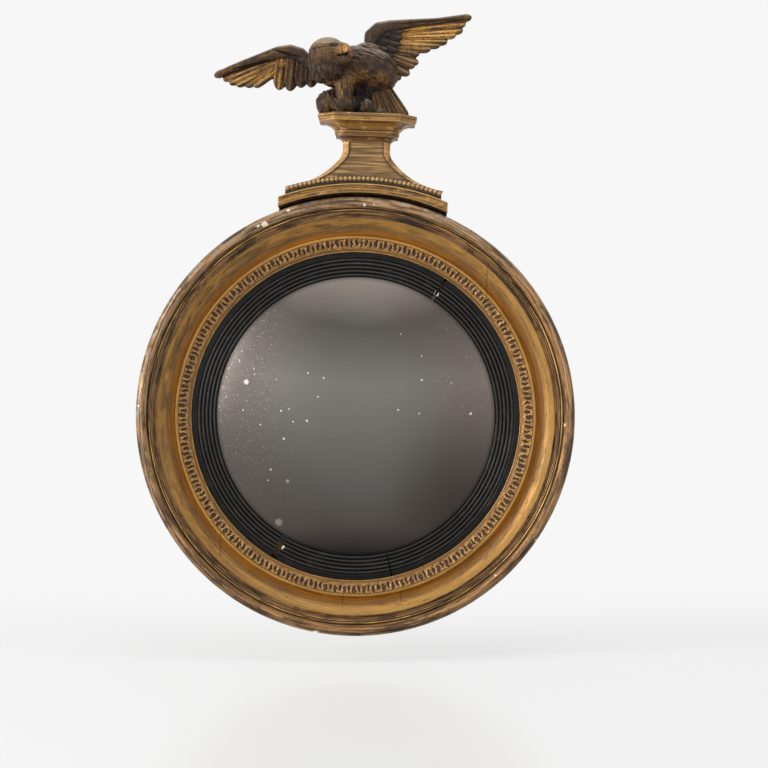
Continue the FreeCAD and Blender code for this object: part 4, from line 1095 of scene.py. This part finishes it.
def limb_rows(stations, rings=10, around=28):
    """Loops round a bent limb of (centre, radius) stations, closed by round ends."""
    centres = np.array([centre for centre, _ in stations], float)
    radii = np.array([radius for _, radius in stations], float)
    length = np.concatenate([[0], np.cumsum(np.linalg.norm(np.diff(centres, axis=0), axis=1))])
    marks = np.linspace(0, length[-1], rings * (len(stations) - 1) + 1)
    line = np.column_stack([np.interp(marks, length, centres[:, k]) for k in range(3)])
    for _ in range(6):
        line[1:-1] = (line[:-2] + 2 * line[1:-1] + line[2:]) / 4
    size = np.interp(marks, length, radii)
    along = np.gradient(line, axis=0)
    along /= np.linalg.norm(along, axis=1, keepdims=True)
    cap = np.radians(np.linspace(8, 90, 7))
    heads = [(line[0] - along[0] * size[0] * math.cos(a), size[0] * math.sin(a), along[0]) for a in cap]
    tails = [(line[-1] + along[-1] * size[-1] * math.cos(a), size[-1] * math.sin(a), along[-1])
             for a in cap[::-1]]
    body = list(zip(line, size, along))
    turn = np.radians(np.arange(around) * 360.0 / around)
    rows = []
    for centre, radius, forward in heads[:-1] + body + tails[1:]:
        side = np.cross(forward, (0, 1, 0))
        side /= np.linalg.norm(side)
        front = np.cross(side, forward)
        rows.append(centre + radius * (np.cos(turn)[:, None] * side + np.sin(turn)[:, None] * front))
    return np.array(rows)


class Carving:
    """Gathers closed shells, with the values that the carved gilding reads, into one piece."""

    def __init__(self):
        self.vertices, self.faces, self.count = [], [], 0
        self.values = {"relief": [], "gilded": [], "across": [], "along": []}

    def shell(self, rows, relief, gilded, across, along):
        vertices = rows.reshape(-1, 3)
        faces = facing_out(vertices - vertices.mean(0), loft_faces(*rows.shape[:2]))
        self.raw(vertices, faces, relief, gilded, across, along)

    def raw(self, vertices, faces, relief, gilded, across, along):
        self.vertices.append(vertices)
        self.faces += [[corner + self.count for corner in face] for face in faces]
        self.count += len(vertices)
        for key, numbers in zip(("relief", "gilded", "across", "along"), (relief, gilded, across, along)):
            self.values[key].append(np.broadcast_to(np.asarray(numbers, float).ravel(), len(vertices)))

    def build(self, name, material, sharp_deg=50):
        values = {key: np.concatenate(parts) for key, parts in self.values.items()}
        return piece(name, np.concatenate(self.vertices), self.faces, material, sharp_deg, values)


def settle_carving(name, node, material, sharp_deg, vertices, faces, relief, gilded, across, along):
    """One carved piece of the eagle, in place of its CAD node."""
    carving = Carving()
    carving.raw(vertices, faces, relief, gilded, across, along)
    settle(carving.build(name, material, sharp_deg), "gilt_carving", node)


# feathers: (root, tip, width); later ones lie in front
LEFT_WING_FEATHERS = (
    ((-112, 500), (-211.5, 462), 11), ((-112, 495), (-199, 457), 10), ((-111, 491), (-190, 452), 11),
    ((-110, 488), (-180, 449.5), 10), ((-110, 486), (-167.5, 449), 11), ((-110, 484), (-156, 449), 10),
    ((-110, 484), (-146, 457), 10), ((-110, 486), (-136, 464), 10), ((-117, 492), (-121.5, 446), 19),
    ((-104, 492), (-106.5, 445), 20), ((-74, 490), (-78, 451), 20), ((-90, 492), (-91.5, 450), 20),
)
LEFT_WING_ARM = (((-64, 480), 9), ((-80, 484), 9), ((-94, 496), 9.5), ((-108, 499.4), 9.6), ((-124, 497), 9),
                 ((-146, 489), 7.6), ((-168, 480.8), 6.2), ((-190, 472), 5), ((-206, 463.5), 4.2))
RIGHT_WING_FEATHERS = (
    ((22, 537), (141, 555.6), 11), ((26, 531), (133, 546), 11), ((28, 527), (129.5, 537), 11),
    ((28, 523), (120, 530), 11), ((28, 519), (108.5, 520.5), 11), ((26, 515), (98.5, 515), 11),
    ((24, 511), (86, 509.6), 12), ((22, 507), (70.5, 502), 13), ((18, 504), (69.8, 489.6), 13),
    ((14, 500), (64.5, 484.6), 13), ((10, 498), (58, 473.4), 14), ((4, 496), (46, 466.6), 15),
    ((14, 533), (46, 531), 12), ((14, 527), (46, 522.5), 12), ((13, 521), (44, 513.5), 12),
    ((11, 515), (40, 504.5), 12), ((8, 509), (35, 496), 12), ((5, 503), (29, 488), 12),
    ((6, 529), (29, 526), 12), ((4, 521), (28, 515), 12), ((3, 513), (26, 505), 12),
    ((0, 505), (22, 495), 12),
)
RIGHT_WING_ARM = (((2, 500), 11), ((5, 512), 11.5), ((6, 524), 12.3), ((14, 533), 11.4), ((28, 539), 8.4),
                  ((55, 544), 5.8), ((98, 549.2), 4), ((128, 555), 3), ((137, 556), 2.4))
TAIL_FEATHERS = (
    ((24, 462), (57, 414), 12), ((21, 461), (50, 413), 12), ((18, 460), (43, 413), 12),
    ((15, 459), (36, 413), 12), ((12, 458), (29, 413), 11), ((9, 457), (22, 413), 11),
    ((7, 456), (14, 413), 11),
)
TAIL_ARM = (((6, 456), 10), ((20, 462), 11), ((31, 462), 8))


def feather_field(x, z, root, tip, width, bow):
    """Depth inside one feather, its distance along, across, and its half width."""
    root, tip = np.array(root, float), np.array(tip, float)
    length = np.linalg.norm(tip - root)
    ahead = (tip - root) / length
    along = (x - root[0]) * ahead[0] + (z - root[1]) * ahead[1]
    share = np.clip(along / length, 0, 1)
    across = (x - root[0]) * ahead[1] - (z - root[1]) * ahead[0] - bow * np.sin(share * math.pi)
    end = np.clip((along - length + 0.9 * width) / (0.9 * width), 0, 1)
    half = 0.5 * width * (0.86 + 0.14 * fade(share, 0, 0.7)) * np.sqrt(np.clip(1 - end ** 2.2, 0, 1)) ** 1.1
    beyond = np.maximum(along - length, -along)
    inside = np.where(beyond > 0, -np.hypot(across, beyond), half - np.abs(across))
    return inside, along, across, half


def arm_field(x, z, arm):
    """Depth inside the limb along a wing's leading edge, its radius, and the distance along."""
    best = along = size = None
    gone = 0.0
    for (start, r_start), (end, r_end) in zip(arm, arm[1:]):
        start, end = np.array(start, float), np.array(end, float)
        length = np.linalg.norm(end - start)
        (run, rise), from_x, from_z = end - start, x - start[0], z - start[1]
        share = np.clip((from_x * run + from_z * rise) / length ** 2, 0, 1)
        radius = r_start + (r_end - r_start) * share
        inside = radius - np.hypot(from_x - share * run, from_z - share * rise)
        if best is None:
            best, along, size = inside, share * length, radius
        else:
            nearer = inside > best
            best = np.where(nearer, inside, best)
            along = np.where(nearer, gone + share * length, along)
            size = np.where(nearer, radius, size)
        gone += length
    return best, size, along


class Relief:
    """Flat carving of overlapping feathers under a limb, with a modelled front and back."""

    def __init__(self, feathers, arm, back, step, arm_rise, grooves, coverts_from=99):
        self.feathers, self.arm, self.back, self.step = feathers, arm, back, step
        self.arm_rise, self.grooves, self.coverts_from = arm_rise, grooves, coverts_from

    def inside(self, x, z):
        best = arm_field(x, z, self.arm)[0]
        for index, (root, tip, width) in enumerate(self.feathers):
            best = np.maximum(best, feather_field(x, z, root, tip, width, 0.5 * (-1) ** index)[0])
        return best

    def front(self, x, z):
        """Height of the front over the back, and the values that the material reads."""
        height = np.full(x.shape, 2.5)
        relief = np.full(x.shape, 0.1)
        across_all, along_all = x * 1.0, z * 1.0
        for index, (root, tip, width) in enumerate(self.feathers):
            inside, along, across, half = feather_field(x, z, root, tip, width, 0.5 * (-1) ** index)
            t = across / np.maximum(half, 0.5)
            crown = np.sqrt(np.clip(1 - t ** 2, 0, 1))
            wander = noise(np.stack([along / 9, across / 5, 0 * x + index], -1), 7)
            barbs = np.sin((along * 0.8 - np.abs(across)) * 2.4 + 2 * wander)
            quill = hump(across, 0.8) * fade(inside, 0.5, 2.0)
            side_cut = hump(np.abs(across) - 0.5 * half, 0.7) * fade(inside, 1.0, 2.5)
            here = (3.0 + self.step * index + 2.0 * crown + 0.5 * quill + 0.16 * barbs - 0.5 * side_cut
                    + 0.02 * across * width)
            here = np.where(inside > 0, here, -1)
            on_top = here > height
            height = np.where(on_top, here, height)
            edge = fade(inside, 0.0, 1.3)
            # painted shade: feather edges and side cuts read darker, in the creases between feathers
            look = (0.02 + 0.42 * edge + 0.14 * crown + 0.32 * quill - 0.10 * barbs - 0.30 * side_cut
                    + 0.26 * noise(np.stack([along / 22, across / 1.6, 0 * x + index], -1), 11))
            relief = np.where(on_top, look - 0.40 * (index >= self.coverts_from), relief)
            across_all = np.where(on_top, across + 11 * index, across_all)
            along_all = np.where(on_top, along + 37 * index, along_all)
        inside, radius, along = arm_field(x, z, self.arm)
        round_top = np.sqrt(np.clip(1 - (1 - inside / radius) ** 2, 0, 1))
        grain = rough(np.stack([along / 16, inside / 2.4, 0 * x], -1), 13)
        here = np.where(inside > 0, self.arm_rise + 0.95 * radius * round_top + 0.35 * grain, -1)
        look = 0.5 + 0.25 * grain
        for start, end, width, deep in self.grooves:
            away, share = to_segment(np.stack([x, 0 * x, z], -1).reshape(-1, 3), start, end)
            cut = (hump(away, width) * np.sin(np.clip(share, 0.03, 0.97) * math.pi) ** 0.5).reshape(x.shape)
            here = here - deep * cut
            # painted shade in the grooves of the arm
            look = look - 0.7 * cut
        on_top = here > height
        height = np.where(on_top, here, height)
        relief = np.where(on_top, look, relief)
        # painted shade where the feathers run under the arm
        foot = fade(inside, -1.6, 0.0) * (1 - on_top)
        relief = relief - 0.45 * foot
        arm_share = on_top * 1.0
        across_all = np.where(on_top, inside * 1.5, across_all)
        along_all = np.where(on_top, along, along_all)
        return height, relief, across_all, along_all, arm_share

    def build(self, name, node, gilded, material):
        """Closed mesh over every place inside the outline."""
        cell = 0.8
        ends = [end for feather in self.feathers for end in feather[:2]] + [centre for centre, _ in self.arm]
        low, high = np.min(ends, axis=0), np.max(ends, axis=0)
        size = np.ceil((high - low + 40) / cell).astype(int)
        x, z = np.meshgrid(*(low[k] - 20 + cell * np.arange(size[k]) for k in range(2)), indexing="ij")
        depth_in = self.inside(x, z)
        corner = np.arange(x.size).reshape(x.shape)
        quads = np.stack([corner[:-1, :-1], corner[1:, :-1], corner[1:, 1:], corner[:-1, 1:]], -1)
        quads = quads.reshape(-1, 4)
        quads = quads[(depth_in.ravel()[quads] > 0).any(1)]
        used, quads = np.unique(quads, return_inverse=True)
        quads = quads.reshape(-1, 4)
        x, z = x.ravel()[used], z.ravel()[used]
        for _ in range(5):
            here = self.inside(x, z)
            slope_x = (self.inside(x + 0.05, z) - here) / 0.05
            slope_z = (self.inside(x, z + 0.05) - here) / 0.05
            steep = np.maximum(slope_x ** 2 + slope_z ** 2, 0.3)
            move = np.where(here < 0, np.clip(-here, 0, cell) / steep, 0)
            x, z = x + move * slope_x, z + move * slope_z
        depth_in = np.maximum(self.inside(x, z), 0)
        height, relief, across, along, arm_share = self.front(x, z)
        rim = np.sqrt(np.clip(depth_in / 2.2, 0, 1))
        hollow = 0.9 * rough(np.stack([x / 12, 0 * x, z / 12], -1), 19)
        back = self.back + 1.3 * (1 - rim) + hollow * rim
        top = self.back + 2.6 + (height - 2.6) * (0.25 + 0.75 * rim)
        edges = np.concatenate([quads[:, [k, (k + 1) % 4]] for k in range(4)])
        keys = edges[:, 0].astype(np.int64) * len(used) + edges[:, 1]
        twins = edges[:, 1].astype(np.int64) * len(used) + edges[:, 0]
        rim_edges = edges[~np.isin(keys, twins)]
        count = len(used)
        walls = np.column_stack([rim_edges[:, ::-1], rim_edges + count])
        faces = np.concatenate([quads, quads[:, ::-1] + count, walls]).tolist()
        vertices = np.concatenate([np.column_stack([x, -top, z]), np.column_stack([x, -back, z])])
        shine = gilded(x, z) * (1 - 0.8 * arm_share)
        settle_carving(name, node, material, 70, vertices, facing_out(vertices, faces),
                       np.concatenate([relief, relief * 0.6]), np.concatenate([shine, shine * 0.3]),
                       np.concatenate([across, across]), np.concatenate([along, along]))


def ellipsoid(centre, size, tilt_deg=0.0, rings=18, around=28):
    """Rows of an ellipsoid, tilted in the plane of the wall."""
    polar = np.radians(np.linspace(3, 177, rings))
    turn = np.radians(np.arange(around) * 360.0 / around)
    x = np.cos(polar)[:, None] * size[0] + 0 * turn
    y = np.sin(polar)[:, None] * np.cos(turn) * size[1]
    z = np.sin(polar)[:, None] * np.sin(turn) * size[2]
    tilt = math.radians(tilt_deg)
    tilted_x = x * math.cos(tilt) - z * math.sin(tilt)
    tilted_z = x * math.sin(tilt) + z * math.cos(tilt)
    return np.stack([tilted_x + centre[0], y + centre[1], tilted_z + centre[2]], -1)


def fused(shells, voxel_mm, smoothing):
    """Points, faces and normals of the outer skin of overlapping shells, rounded where they meet."""
    carving = Carving()
    for rows in shells:
        carving.shell(rows, 0, 0, 0, 0)
    lump = carving.build("lump", bpy.data.materials.new("lump"))
    remesh = lump.modifiers.new("skin", "REMESH")
    remesh.mode = "VOXEL"
    remesh.voxel_size = voxel_mm * MM
    smooth = lump.modifiers.new("ease", "SMOOTH")
    smooth.factor = 0.5
    smooth.iterations = smoothing
    graph = bpy.context.evaluated_depsgraph_get()
    mesh = bpy.data.meshes.new_from_object(lump.evaluated_get(graph))
    bpy.data.objects.remove(lump)
    points, normals = vectors(mesh.vertices, "co") / MM, vectors(mesh.vertex_normals, "vector")
    faces = [list(polygon.vertices) for polygon in mesh.polygons]
    bpy.data.meshes.remove(mesh)
    return points, faces, normals


def to_segment(points, start, end):
    """Distance from points to a segment in the plane of the wall, and the share along it."""
    flat = points[:, [0, 2]]
    start, end = np.array(start, float), np.array(end, float)
    share = np.clip((flat - start) @ (end - start) / ((end - start) @ (end - start)), 0, 1)
    near = start + share[:, None] * (end - start)
    return np.linalg.norm(flat - near, axis=1), share


def locks(points, direction_deg, wide, long, seed):
    """Carved locks that run in one direction: ridges with sharp valleys, -1 to 1."""
    angle = math.radians(direction_deg)
    along = points[:, 0] * math.cos(angle) + points[:, 2] * math.sin(angle)
    across = -points[:, 0] * math.sin(angle) + points[:, 2] * math.cos(angle)
    sway = 1.6 * noise(np.column_stack([along / 14, across / 20, points[:, 1] / 20]), seed + 5)
    where = np.column_stack([(across + sway) / wide, along / long, points[:, 1] / (2.0 * wide)])
    ridge = 1 - 2 * np.abs(noise(where, seed))
    return ridge * 2 - 1, across, along


def eagle_body(material):
    """Body and legs: locks that sweep from the neck to the tail and down the thighs."""
    shells = [
        ellipsoid((-6, -32, 482), (47, 27, 27), -6),
        ellipsoid((-48, -40, 470), (26, 22, 20), -20),
        ellipsoid((14, -33, 476), (31, 22, 19), -26),
        ellipsoid((-10, -24, 449), (22, 12, 16)),
        ellipsoid((-2, -32, 500), (20, 16, 14)),
        ellipsoid((-64, -34, 482), (16, 17, 19)),
        limb_rows([((-30, -44, 460), 16), ((-31, -46, 442), 12.5), ((-30, -46, 430), 10.5),
                   ((-29, -46, 424), 10.5)]),
        limb_rows([((6, -30, 464), 14), ((0, -28, 448), 10), ((-4, -27, 434), 8.5)]),
    ]
    points, faces, normals = fused(shells, 0.72, 9)
    x, _, z = points.T
    sweep, across, along = locks(points, -22, 4.0, 13, 71)
    down, across_down, along_down = locks(points, -82, 3.6, 11, 73)
    legs = fade(z, 462, 450)
    chest = fade(x, -36, -52)
    vertical = np.clip(legs + chest, 0, 1)
    pattern = sweep * (1 - vertical) + down * vertical
    fine = rough(points / 1.8, 77)
    points = points + normals * (0.45 * pattern + 0.35 * fine)[:, None]
    # painted shade between the legs, under the body
    relief = 0.42 + 0.08 * pattern + 0.12 * fine - 0.5 * hump(x + 4, 14) * fade(z, 458, 450)
    across = np.where(vertical > 0.5, across_down, across)
    along = np.where(vertical > 0.5, along_down, along)
    gilded = 0.12 + 0.75 * hump(z - 448, 16) * hump(x + 28, 17) + 0.5 * hump(z - 460, 9)
    settle_carving("eagle_torso", "eagle_body", material, 180, points, faces, relief, gilded,
                   2 * across, along)


def eagle_head(material):
    """Head turned to the viewer's right, beak a little open, long neck locks on the left."""
    shells = [
        ellipsoid((-54, -58, 490), (27, 24, 24.5), -4),
        ellipsoid((-40, -62, 490), (19, 18, 18)),
        ellipsoid((-66, -50, 476), (16, 18, 24), 12),
        ellipsoid((-52, -54, 472), (22, 22, 17)),
        limb_rows([((-44, -62, 496), 13), ((-33, -70, 496.5), 9.5), ((-25, -74.5, 494), 6.4),
                   ((-19.5, -76, 488.5), 3.4)]),
        limb_rows([((-44, -66, 482), 13), ((-34, -70, 481.5), 8.0), ((-26, -72, 483), 4.0)]),
    ]
    points, faces, normals = fused(shells, 0.6, 7)
    x, y, z = points.T
    front = fade(-y, 52, 60)

    def line(start, end, width):
        return hump(to_segment(points, start, end)[0], width)

    mouth = line((-39.6, 486.0), (-27.5, 489.4), 1.2) * front
    eye_away = np.hypot(x + 45.5, (z - 500.5) * 1.35)
    socket = hump(eye_away, 4.2) * front
    ball = hump(eye_away, 2.0) * front
    under = line((-73, 496.2), (-50, 498.2), 1.3) * fade(-y, 40, 52)
    brow = line((-62, 501.0), (-38, 504.5), 2.2) * front
    cere = line((-36, 502), (-33.5, 490.5), 0.9) * front
    nostril = hump(np.hypot(x + 30.5, z - 495.5), 1.3) * front
    neck = fade(x, -58, -70) * fade(z, 502, 494) + fade(z, 478, 470)
    hang, across, along = locks(points, -78, 3.0, 13, 81)
    sweep, across_top, along_top = locks(points, 4, 3.4, 14, 83)
    dome = (1 - np.clip(neck, 0, 1)) * (1 - fade(x, -46, -38))
    pattern = hang * np.clip(neck, 0, 1) * 0.6 + sweep * dome * 0.15
    fine = rough(points / 1.6, 87)
    lift = (0.7 * pattern + 0.3 * fine - 3.6 * mouth - 2.0 * socket + 2.3 * ball + 1.3 * brow
            - 0.6 * cere - 1.0 * nostril - 0.35 * under)
    points = points + normals * lift[:, None]
    # painted highlights on the top of the dome and beside the beak; painted shade in the mouth, eye socket,
    # cere and under lines, and low on the head
    relief = (0.52 + 0.13 * pattern + 0.14 * fine + 0.26 * dome * fade(z, 492, 504)
              - 0.16 * fade(z, 488, 472) - 1.2 * mouth - 0.7 * socket * (1 - 0.4 * ball)
              - 0.4 * cere - 0.3 * under + 0.3 * hump(x + 32, 10) * hump(z - 497, 7))
    gilded = 0.10 + 0.85 * hump(x + 31, 10) * hump(z - 494, 9) + 0.2 * hump(x + 60, 13) * hump(z - 490, 8)
    top = dome > 0.4
    settle_carving("eagle_skull", "eagle_head", material, 180, points, faces, relief, gilded,
                   np.where(top, across_top, across), np.where(top, along_top, along))


def eagle_rock(material):
    """Rockwork under the eagle, cut in curved strokes, with a flat foot."""
    shells = [
        ellipsoid((-52, -34, 428), (17, 20, 18), 10),
        ellipsoid((-43, -32, 438), (13, 16, 13)),
        ellipsoid((-32, -36, 424), (24, 22, 15)),
        ellipsoid((-1, -38, 422), (11, 15, 14), -12),
        ellipsoid((10, -26, 416), (26, 16, 10), -6),
        ellipsoid((-12, -26, 436), (17, 14, 15)),
    ]
    points, faces, normals = fused(shells, 0.75, 6)
    x, y, z = points.T
    bend = x + 0.35 * (z - 415)
    strokes = 1 - 2 * np.abs(noise(np.column_stack([bend / 4.2, z / 22, y / 12]), 91))
    rocks = rough(points / 9.0, 93)
    fine = rough(points / 2.0, 97)
    points = points + normals * (1.0 * strokes + 1.6 * rocks + 0.25 * fine)[:, None]
    points[:, 2] = np.maximum(points[:, 2], TOP_Z)
    # painted shade under the arch between the legs
    relief = 0.22 + 0.24 * strokes + 0.2 * rocks - 0.3 * hump(x + 11, 7)
    gilded = 0.18 + 0.3 * hump(x + 45, 12)
    settle_carving("eagle_rock", "eagle_rockwork", material, 60, points, faces, relief, gilded, bend, z)


def eagle(material):
    """The whole carved bird."""
    left = Relief(LEFT_WING_FEATHERS, LEFT_WING_ARM, 21, 0.45, 6.5, (
        ((-131, 499), (-91, 489.5), 1.5, 3.2), ((-148, 484), (-86, 482.5), 1.1, 1.6),
        ((-186, 471), (-140, 484), 1.2, 1.2)))
    left.build("eagle_wing_left", "eagle_left_wing", lambda x, z: 0.75 * fade(x, -100, -126), material)
    right = Relief(RIGHT_WING_FEATHERS, RIGHT_WING_ARM, 21, 0.45, 6.5, (
        ((2, 503), (26, 531), 1.6, 2.2), ((12, 500), (40, 531), 1.3, 1.6),
        ((34, 540), (118, 551), 1.0, 0.9)), 12)
    right.build("eagle_wing_right", "eagle_right_wing",
                lambda x, z: (0.9 * fade(z - 0.12 * x, 500, 516) + 0.35) * fade(x, 34, 50), material)
    eagle_body(material)
    eagle_head(material)
    tail = Relief(TAIL_FEATHERS, TAIL_ARM, 16, 1.6, 10, ())
    tail.build("eagle_tail_fan", "eagle_tail", lambda x, z: 0.15 + 0.5 * fade(z, 446, 458), material)
    eagle_rock(material)


# ---------------------------------------------------------------- CAD pieces that show as they are

def finish_nodes():
    """Give every CAD node that still shows its own material."""
    felloe_pine = pine("pine_blocks", srgb(168, 134, 94), srgb(112, 84, 56), True)
    board_pine = pine("pine_boards", srgb(176, 142, 100), srgb(124, 94, 62), False)
    iron = old_metal("wrought_iron", srgb(96, 90, 86), srgb(72, 44, 30), 0.8, 0.42)
    brass = old_metal("old_brass", srgb(172, 140, 82), srgb(128, 100, 58), 0.85, 0.4)
    steel = old_metal("screw_steel", srgb(140, 136, 130), srgb(70, 56, 46), 0.9, 0.4)
    by_start = {
        "rear_felloe": felloe_pine, "backboard_nails": iron, "backboard": board_pine,
        "glass_blocks": board_pine,
        "pedestal_dowels": board_pine, "wing_dowels": board_pine, "neck_dowel": board_pine,
        "hanger_plate": brass, "hanging_ring": brass, "hanger_screws": brass, "crest_strap_screws": steel,
        "crest_strap": iron, "eagle_screws": steel, "silvering": silver_back(),
    }
    for name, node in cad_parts.items():
        if node.hide_render:
            continue
        start = next((key for key in by_start if name.startswith(key)), None)
        node.data.materials.clear()
        node.data.materials.append(by_start[start] if start else felloe_pine)


# ---------------------------------------------------------------- stage

ROLL_DEG = 2.0                         # the object hangs this far clockwise of the picture's upright
CAMERA_AT = (0.0375, -2.475, 0.0457)
CAMERA_LENS = 83.28
FLOOR_Z = -0.337
BACKGROUND = 0.93                      # brightness of what the camera and reflections see
AMBIENT = 0.42                         # brightness of the surroundings that light the object
LAMP_TARGET = (0, 0, 0.1)
# name, place and size in metres, watts, colour
LAMPS = (
    ("key_lamp", (-2.5, -1.4, 0.65), 1.2, 56.0, (1.0, 0.985, 0.96)),
    ("top_lamp", (0.4, -0.9, 2.5), 1.6, 20.0, (1.0, 1.0, 1.0)),
    ("fill_lamp", (2.2, -2.2, 0.6), 1.6, 7.0, (0.97, 0.985, 1.0)),
)


def make_stage():
    """Camera, pale floor, studio lamps, and the dim room that the mirror reflects."""
    scene = bpy.context.scene
    scene.view_settings.view_transform = "Standard"
    roll = Matrix.Rotation(math.radians(-ROLL_DEG), 4, "Y")

    camera = bpy.data.objects.new("camera", bpy.data.cameras.new("camera"))
    camera.data.lens = CAMERA_LENS
    camera.data.sensor_width = 36.0
    camera.data.clip_end = 100.0
    camera.matrix_world = Matrix.Translation(CAMERA_AT) @ roll @ Matrix.Rotation(math.radians(90), 4, "X")
    scene.collection.objects.link(camera)
    scene.camera = camera

    make_floor(roll)
    make_world()
    make_room()
    for settings in LAMPS:
        lamp(*settings)


def lamp(name, place, size, watts, colour):
    """Soft square lamp that looks at the middle of the object."""
    light = bpy.data.lights.new(name, "AREA")
    light.size = size
    light.energy = watts
    light.color = colour
    made = bpy.data.objects.new(name, light)
    made.location = place
    made.rotation_euler = (Vector(LAMP_TARGET) - Vector(place)).to_track_quat("-Z", "Y").to_euler()
    bpy.context.scene.collection.objects.link(made)


def seen_directly(tree):
    """1 for rays from the camera, from reflections and through glass, otherwise 0."""
    path = tree.nodes.new("ShaderNodeLightPath").outputs
    seen = path["Is Camera Ray"]
    for ray in ("Is Glossy Ray", "Is Transmission Ray"):
        either = tree.nodes.new("ShaderNodeMath")
        either.operation = "MAXIMUM"
        tree.links.new(seen, either.inputs[0])
        tree.links.new(path[ray], either.inputs[1])
        seen = either.outputs[0]
    return seen


def make_floor(roll):
    """Pale floor that runs into the background behind the object and keeps its soft shadow."""
    g = Graph("pale_floor")
    g.finish((0.90, 0.90, 0.905, 1.0), 0.0, 0.25)
    seen = seen_directly(g.tree)
    glow = g.add("ShaderNodeEmission", {"Color": (1.0, 1.0, 1.0, 1.0), "Strength": BACKGROUND})
    lit = g.add("ShaderNodeMixShader", {0: g.times(seen, 0.6), 1: g.shader.outputs[0],
                                        2: glow.outputs[0]})
    fade_out = g.band(g.split(g.place)[1], 0.10, 0.9)
    clear = g.add("ShaderNodeBsdfTransparent")
    blend = g.add("ShaderNodeMixShader", {0: fade_out, 1: lit.outputs[0], 2: clear.outputs[0]})
    g.feed(g.tree.nodes["Material Output"].inputs["Surface"], blend.outputs[0])
    corners = np.array([(-6, -6, 0), (6, -6, 0), (6, 3, 0), (-6, 3, 0)], float) / MM
    floor = piece("floor", corners, [(0, 1, 2, 3)], g.material)
    floor.matrix_world = Matrix.Translation((0.0, 0.0, FLOOR_Z)) @ roll


def make_world():
    """Even pale surroundings; the camera and reflections see the white background."""
    world = bpy.data.worlds.new("studio")
    bpy.context.scene.world = world
    world.use_nodes = True
    tree = world.node_tree
    background = tree.nodes["Background"]
    background.inputs["Color"].default_value = (1.0, 1.0, 1.0, 1.0)
    seen = seen_directly(tree)
    strength = tree.nodes.new("ShaderNodeMapRange")
    strength.inputs["To Min"].default_value = AMBIENT
    strength.inputs["To Max"].default_value = BACKGROUND
    tree.links.new(seen, strength.inputs["Value"])
    tree.links.new(strength.outputs[0], background.inputs["Strength"])


ROOM_R = 0.331
# brightness of the dim studio in front of the mirror: (elevation in degrees, brightness)
ROOM_LEVELS = (
    (-66, 0.05), (-54, 0.20), (-30, 0.29), (-3, 0.42), (14, 0.50), (34, 0.33), (43, 0.27), (60, 0.66),
    (66, 0.70),
)


def make_room():
    """Dim shell in front of the mirror that only reflections see, from the inside."""
    g = Graph("room")
    x, y, z = g.split(g.place)
    level = g.add("ShaderNodeVectorMath", {0: g.join(x, y, 0.0)}, operation="LENGTH").outputs["Value"]
    elevation = g.times(g.math("ARCTAN2", z, level), 180 / math.pi)
    sag = g.times(g.math("POWER", g.math("DIVIDE", x, level), 2.0), 5.0)
    drift = g.swing(g.noise(g.place, 9.0, 2.0), 5.0)
    elevation = g.plus(g.minus(elevation, sag), drift)
    low, high = ROOM_LEVELS[0][0], ROOM_LEVELS[-1][0]
    share = g.math("DIVIDE", g.minus(elevation, low), high - low, clamp=True)
    colour = g.ramp(share, [((a - low) / (high - low), (v, v, v, 1.0)) for a, v in ROOM_LEVELS])
    glow = g.add("ShaderNodeEmission", {"Color": colour, "Strength": 1.0})
    clear = g.add("ShaderNodeBsdfTransparent")
    outside = g.add("ShaderNodeNewGeometry").outputs["Backfacing"]
    blend = g.add("ShaderNodeMixShader", {0: outside, 1: glow.outputs[0], 2: clear.outputs[0]})
    g.feed(g.tree.nodes["Material Output"].inputs["Surface"], blend.outputs[0])
    polar = np.radians(np.linspace(1, 80, 60))
    turn = np.radians(np.arange(0, 360, 4))
    flat = np.sin(polar)[:, None]
    y = np.broadcast_to(-np.cos(polar)[:, None], (len(polar), len(turn)))
    points = (np.stack([flat * np.cos(turn), y, flat * np.sin(turn)], -1) * ROOM_R / MM).reshape(-1, 3)
    index = np.arange(len(points)).reshape(len(polar), len(turn))
    a, b = index[:-1], index[1:]
    faces = np.stack([a, np.roll(a, -1, 1), np.roll(b, -1, 1), b], -1).reshape(-1, 4).tolist()
    faces.append(index[0][::-1].tolist())
    side, other = points[faces[0][1]] - points[faces[0][0]], points[faces[0][3]] - points[faces[0][0]]
    if np.cross(side, other) @ points[faces[0][0]] > 0:
        faces = [face[::-1] for face in faces]
    room = piece("room", points, faces, g.material)
    for kind in ("camera", "diffuse", "shadow", "transmission", "volume_scatter"):
        setattr(room, f"visible_{kind}", False)


# ---------------------------------------------------------------- making it

make_stage()
moulding_blocks(gilt_ring())
ornament_strips(gilt_ornament())
black_wood = ebonised()
slip_pieces(black_wood)
mirror_cap(mirror_silver())

crest_gold = gilt_crest("gilt_pedestal", srgb(166, 118, 54), srgb(108, 74, 34))
edge_gold = gilt_crest("gilt_board", srgb(138, 100, 54), srgb(84, 60, 34), rub_and_highlight=0.3)
# painted shade: a darker copy of the pedestal gilding for the neck under the cap
shaded_neck_gold = gilt_crest("gilt_neck_shaded", srgb(124, 86, 44), srgb(72, 50, 28), rub_and_highlight=0.3)
bead_gold = gilt_crest("gilt_beads", srgb(150, 120, 82), srgb(100, 76, 52), 0.3)
# painted light: a brighter copy of the gilding for the waist, whose canted strips face the side lamp
lit_waist_gold = gilt_crest("gilt_waist_lit", srgb(212, 164, 92), srgb(172, 124, 62), streak=(18, 90, 400))
pedestal_blocks(crest_gold, edge_gold, shaded_neck_gold)
waisted_body(lit_waist_gold)
arc_mouldings(crest_gold, bead_gold, black_wood)
eagle(carved_gilding())
finish_nodes()
